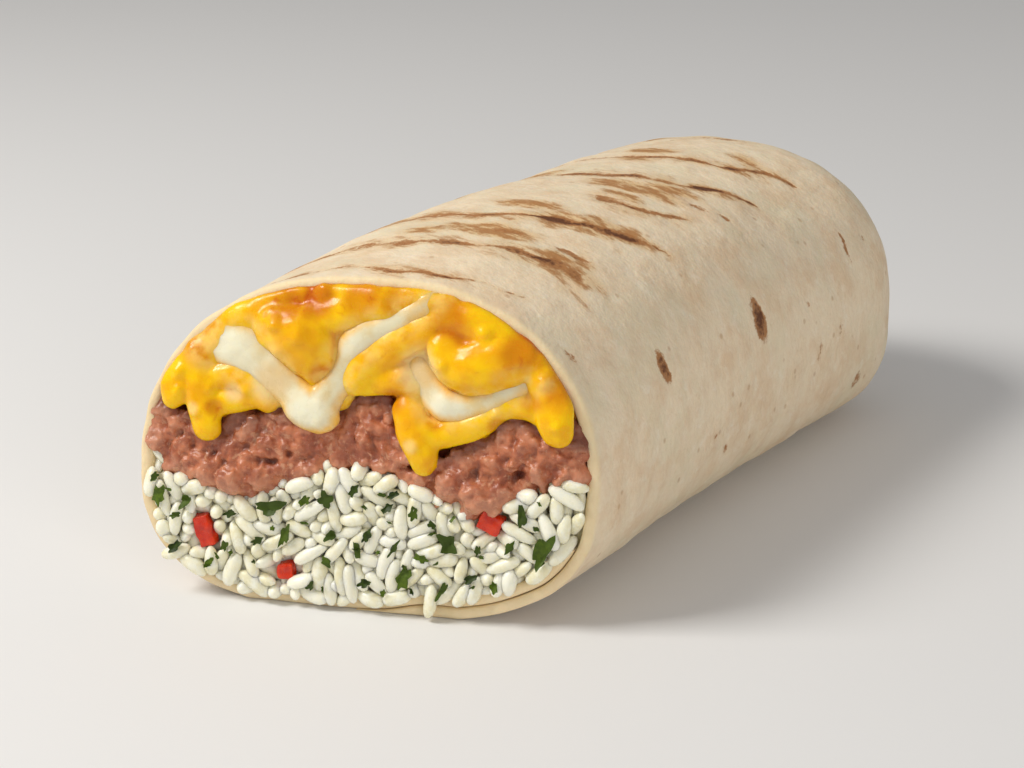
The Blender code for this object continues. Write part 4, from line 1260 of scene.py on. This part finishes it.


# Where the yellow cheese is pale, partly its own beige and partly painted highlight, where the white cheese
# has a painted highlight, and where it is beige, all given like the shaded dimples above.
PALE_AND_GLINT_SPOTS = [
    (-15, 37.5, 3.2, 0.85), (9, 41.5, 3.6, 0.8), (-21, 35.5, 1.8, 0.7), (-27.5, 32.5, 1.2, 0.5),
    (8.6, 29.5, 1.3, 0.5),
]
WHITE_HIGHLIGHTS = [(-21.5, 43, 3.4, 0.8), (-8.5, 34, 3.4, 0.9), (13.4, 35.8, 3.4, 0.9), (-2.4, 45, 2.4, 0.7)]
BEIGE = [
    (9.2, 41.5, 3.6, 0.85), (-14.5, 38.2, 3.4, 0.7), (8, 51.4, 2.6, 0.6), (26, 41, 2.2, 0.6),
    (-26.5, 42, 2.0, 0.5),
]


def local_relief(x, z, out, reach):
    """How far each point stands out over the mean of the face round it, in millimetres."""
    cell = 0.5
    rows, columns = 140, 180
    i = np.clip(((z / MM + 5) / cell).astype(int), 0, rows - 1)
    j = np.clip(((x / MM + 45) / cell).astype(int), 0, columns - 1)
    front = out > -4 * MM
    total, count = np.zeros((rows, columns)), np.zeros((rows, columns))
    np.add.at(total, (i[front], j[front]), out[front] / MM)
    np.add.at(count, (i[front], j[front]), 1)
    for _ in range(2):
        for axis in (0, 1):
            total = sum(np.roll(total, k, axis) for k in range(-reach, reach + 1))
            count = sum(np.roll(count, k, axis) for k in range(-reach, reach + 1))
    return out / MM - total[i, j] / np.maximum(count[i, j], 1)


def white_gap(x, z):
    """How far places on the face, in millimetres, lie from the edge of the white cheese."""
    gap = np.full(x.shape, 50.0)
    for paths in WHITE_PATHS.values():
        for path in paths:
            for across, up, _, radius in along_path(path, 1.2):
                gap = np.minimum(gap, np.hypot(x - across, z - up) - radius)
    return gap


def painted(obj, name, spots):
    """An attribute that is strong near each of the spots on the face: (across, up, reach, strength)."""
    x, z, _ = face_places(obj)
    total = np.zeros_like(x)
    for across, up, reach, strength in spots:
        gap = np.hypot(x / MM - across, z / MM - up)
        total = np.maximum(total, strength * (1 - smooth(0.45 * reach, 1.25 * reach, gap)))
    set_attribute(obj, name, total)


# The pieces.


def build_pieces():
    finish_piece(tortilla_skin(), tortilla_material(), "tortilla", "tortilla")

    beans = beans_piece()
    x, z, out = face_places(beans)
    relief = local_relief(x, z, out, 3)
    # Painted shade on the beans: darker in their hollows and in a band under the cheese's edge.
    under_cheese_shadow = 0.7 * (1 - smooth(0.3, 2.6, (beans_top(x) - z) / MM))
    set_attribute(beans, "painted_shade", np.maximum(1 - smooth(-1.1, 0.0, relief), under_cheese_shadow))
    # Painted highlight on the beans' raised lumps.
    set_attribute(beans, "painted_highlight", smooth(0.2, 1.3, relief))
    finish_piece(beans, bean_material(), "beans", "beans")

    yellow = yellow_piece()
    # Painted shade, deep orange, at the shaded dimples.
    painted(yellow, "deep", SHADED_DIMPLES)
    painted(yellow, "pale", PALE_AND_GLINT_SPOTS)
    x, z, out = face_places(yellow)
    # Painted shade, deep orange, in the valleys of the yellow cheese.
    set_attribute(yellow, "low", 1 - smooth(-0.9, 0.15, local_relief(x, z, out, 5)))
    set_attribute(yellow, "creamy", 1 - smooth(-0.6, 2.4, white_gap(x / MM, z / MM)))
    finish_piece(yellow, yellow_material(), "cheese_yellow", "cheese_yellow")

    white = white_material()
    for node in WHITE_PATHS:
        strand = white_piece(node)
        x, z, _ = face_places(strand)
        set_attribute(strand, "edge", smooth(-2.0, -0.4, white_gap(x / MM, z / MM)))
        painted(strand, "beige", BEIGE)
        # Painted highlight on the strands' raised parts.
        painted(strand, "bright", WHITE_HIGHLIGHTS)
        finish_piece(strand, white, "cheese_white", node)

    bed = core("rice_bed", lambda x: x * 0 - 5 * MM, beans_bottom, 2.0 * MM)
    finish_piece(bed, rice_bed_material(), "rice", "rice")
    grains, beads = rice_grains()
    # Painted shade, warm and olive, in the hollows between the grains.
    relief = local_relief(*face_places(grains), 3)
    set_attribute(grains, "low", 0.85 * (1 - smooth(-1.3, 0.7, relief)))
    finish_piece(grains, rice_material(), "rice", "rice")
    finish_piece(herb_flakes(Heap(beads)), herb_material(), "rice", "rice")
    finish_piece(pepper_dice(), pepper_material(), "rice", "rice")


# The room: floor, lights and camera.

FLOOR_HALF, FLOOR_Z = 4, -0.05 * MM
CAMERA_TARGET = Vector((-0.0116, -0.0004, 0.0171))
CAMERA_AZIMUTH, CAMERA_ELEVATION, CAMERA_DISTANCE = math.radians(31.3866), math.radians(18.7733), 0.4555
CAMERA_LENS, CAMERA_SENSOR = 84.375, 36


def soft_light(name, place, target, width, height, power, colour, reflected=True):
    data = bpy.data.lights.new(name, "AREA")
    data.shape = "RECTANGLE"
    data.size, data.size_y = width, height
    data.energy = power
    data.color = colour
    obj = added(name, data)
    obj.visible_glossy = reflected
    obj.location = place
    obj.rotation_euler = (Vector(target) - Vector(place)).to_track_quat("-Z", "Y").to_euler()


def floor():
    mesh = bpy.data.meshes.new("floor")
    corners = [(-FLOOR_HALF, -FLOOR_HALF, 0), (FLOOR_HALF, -FLOOR_HALF, 0), (FLOOR_HALF, FLOOR_HALF, 0)]
    mesh.from_pydata([*corners, (-FLOOR_HALF, FLOOR_HALF, 0)], [], [(0, 1, 2, 3)])
    obj = added("floor", mesh)
    obj.location.z = FLOOR_Z
    material = bpy.data.materials.new("floor")
    material.use_nodes = True
    surface_node = material.node_tree.nodes["Principled BSDF"]
    surface_node.inputs["Base Color"].default_value = (0.78, 0.78, 0.78, 1)
    surface_node.inputs["Roughness"].default_value = 0.7
    mesh.materials.append(material)


def camera():
    data = bpy.data.cameras.new("camera")
    data.lens = CAMERA_LENS
    data.sensor_width = CAMERA_SENSOR
    data.clip_start = 0.01
    obj = added("camera", data)
    level = math.cos(CAMERA_ELEVATION)
    side, front = math.sin(CAMERA_AZIMUTH) * level, -math.cos(CAMERA_AZIMUTH) * level
    back = Vector((side, front, math.sin(CAMERA_ELEVATION)))
    obj.location = CAMERA_TARGET + back * CAMERA_DISTANCE
    obj.rotation_euler = (-back).to_track_quat("-Z", "Y").to_euler()
    bpy.context.scene.camera = obj


def room():
    floor()
    soft_light("key", (-0.42, -0.42, 0.62), (0, 0, 0.02), 0.3, 0.3, 5.6, (1.0, 0.97, 0.92))
    soft_light("front_fill", (0.72, -0.58, 0.32), (0, -0.05, 0.02), 0.6, 0.4, 2.4, (1.0, 0.98, 0.97), False)
    world = bpy.data.worlds.new("world")
    world.use_nodes = True
    background = world.node_tree.nodes["Background"]
    background.inputs["Color"].default_value = (0.95, 0.93, 0.91, 1)
    background.inputs["Strength"].default_value = 0.36
    bpy.context.scene.world = world
    bpy.context.scene.view_settings.view_transform = "Standard"


build_pieces()
room()
camera()
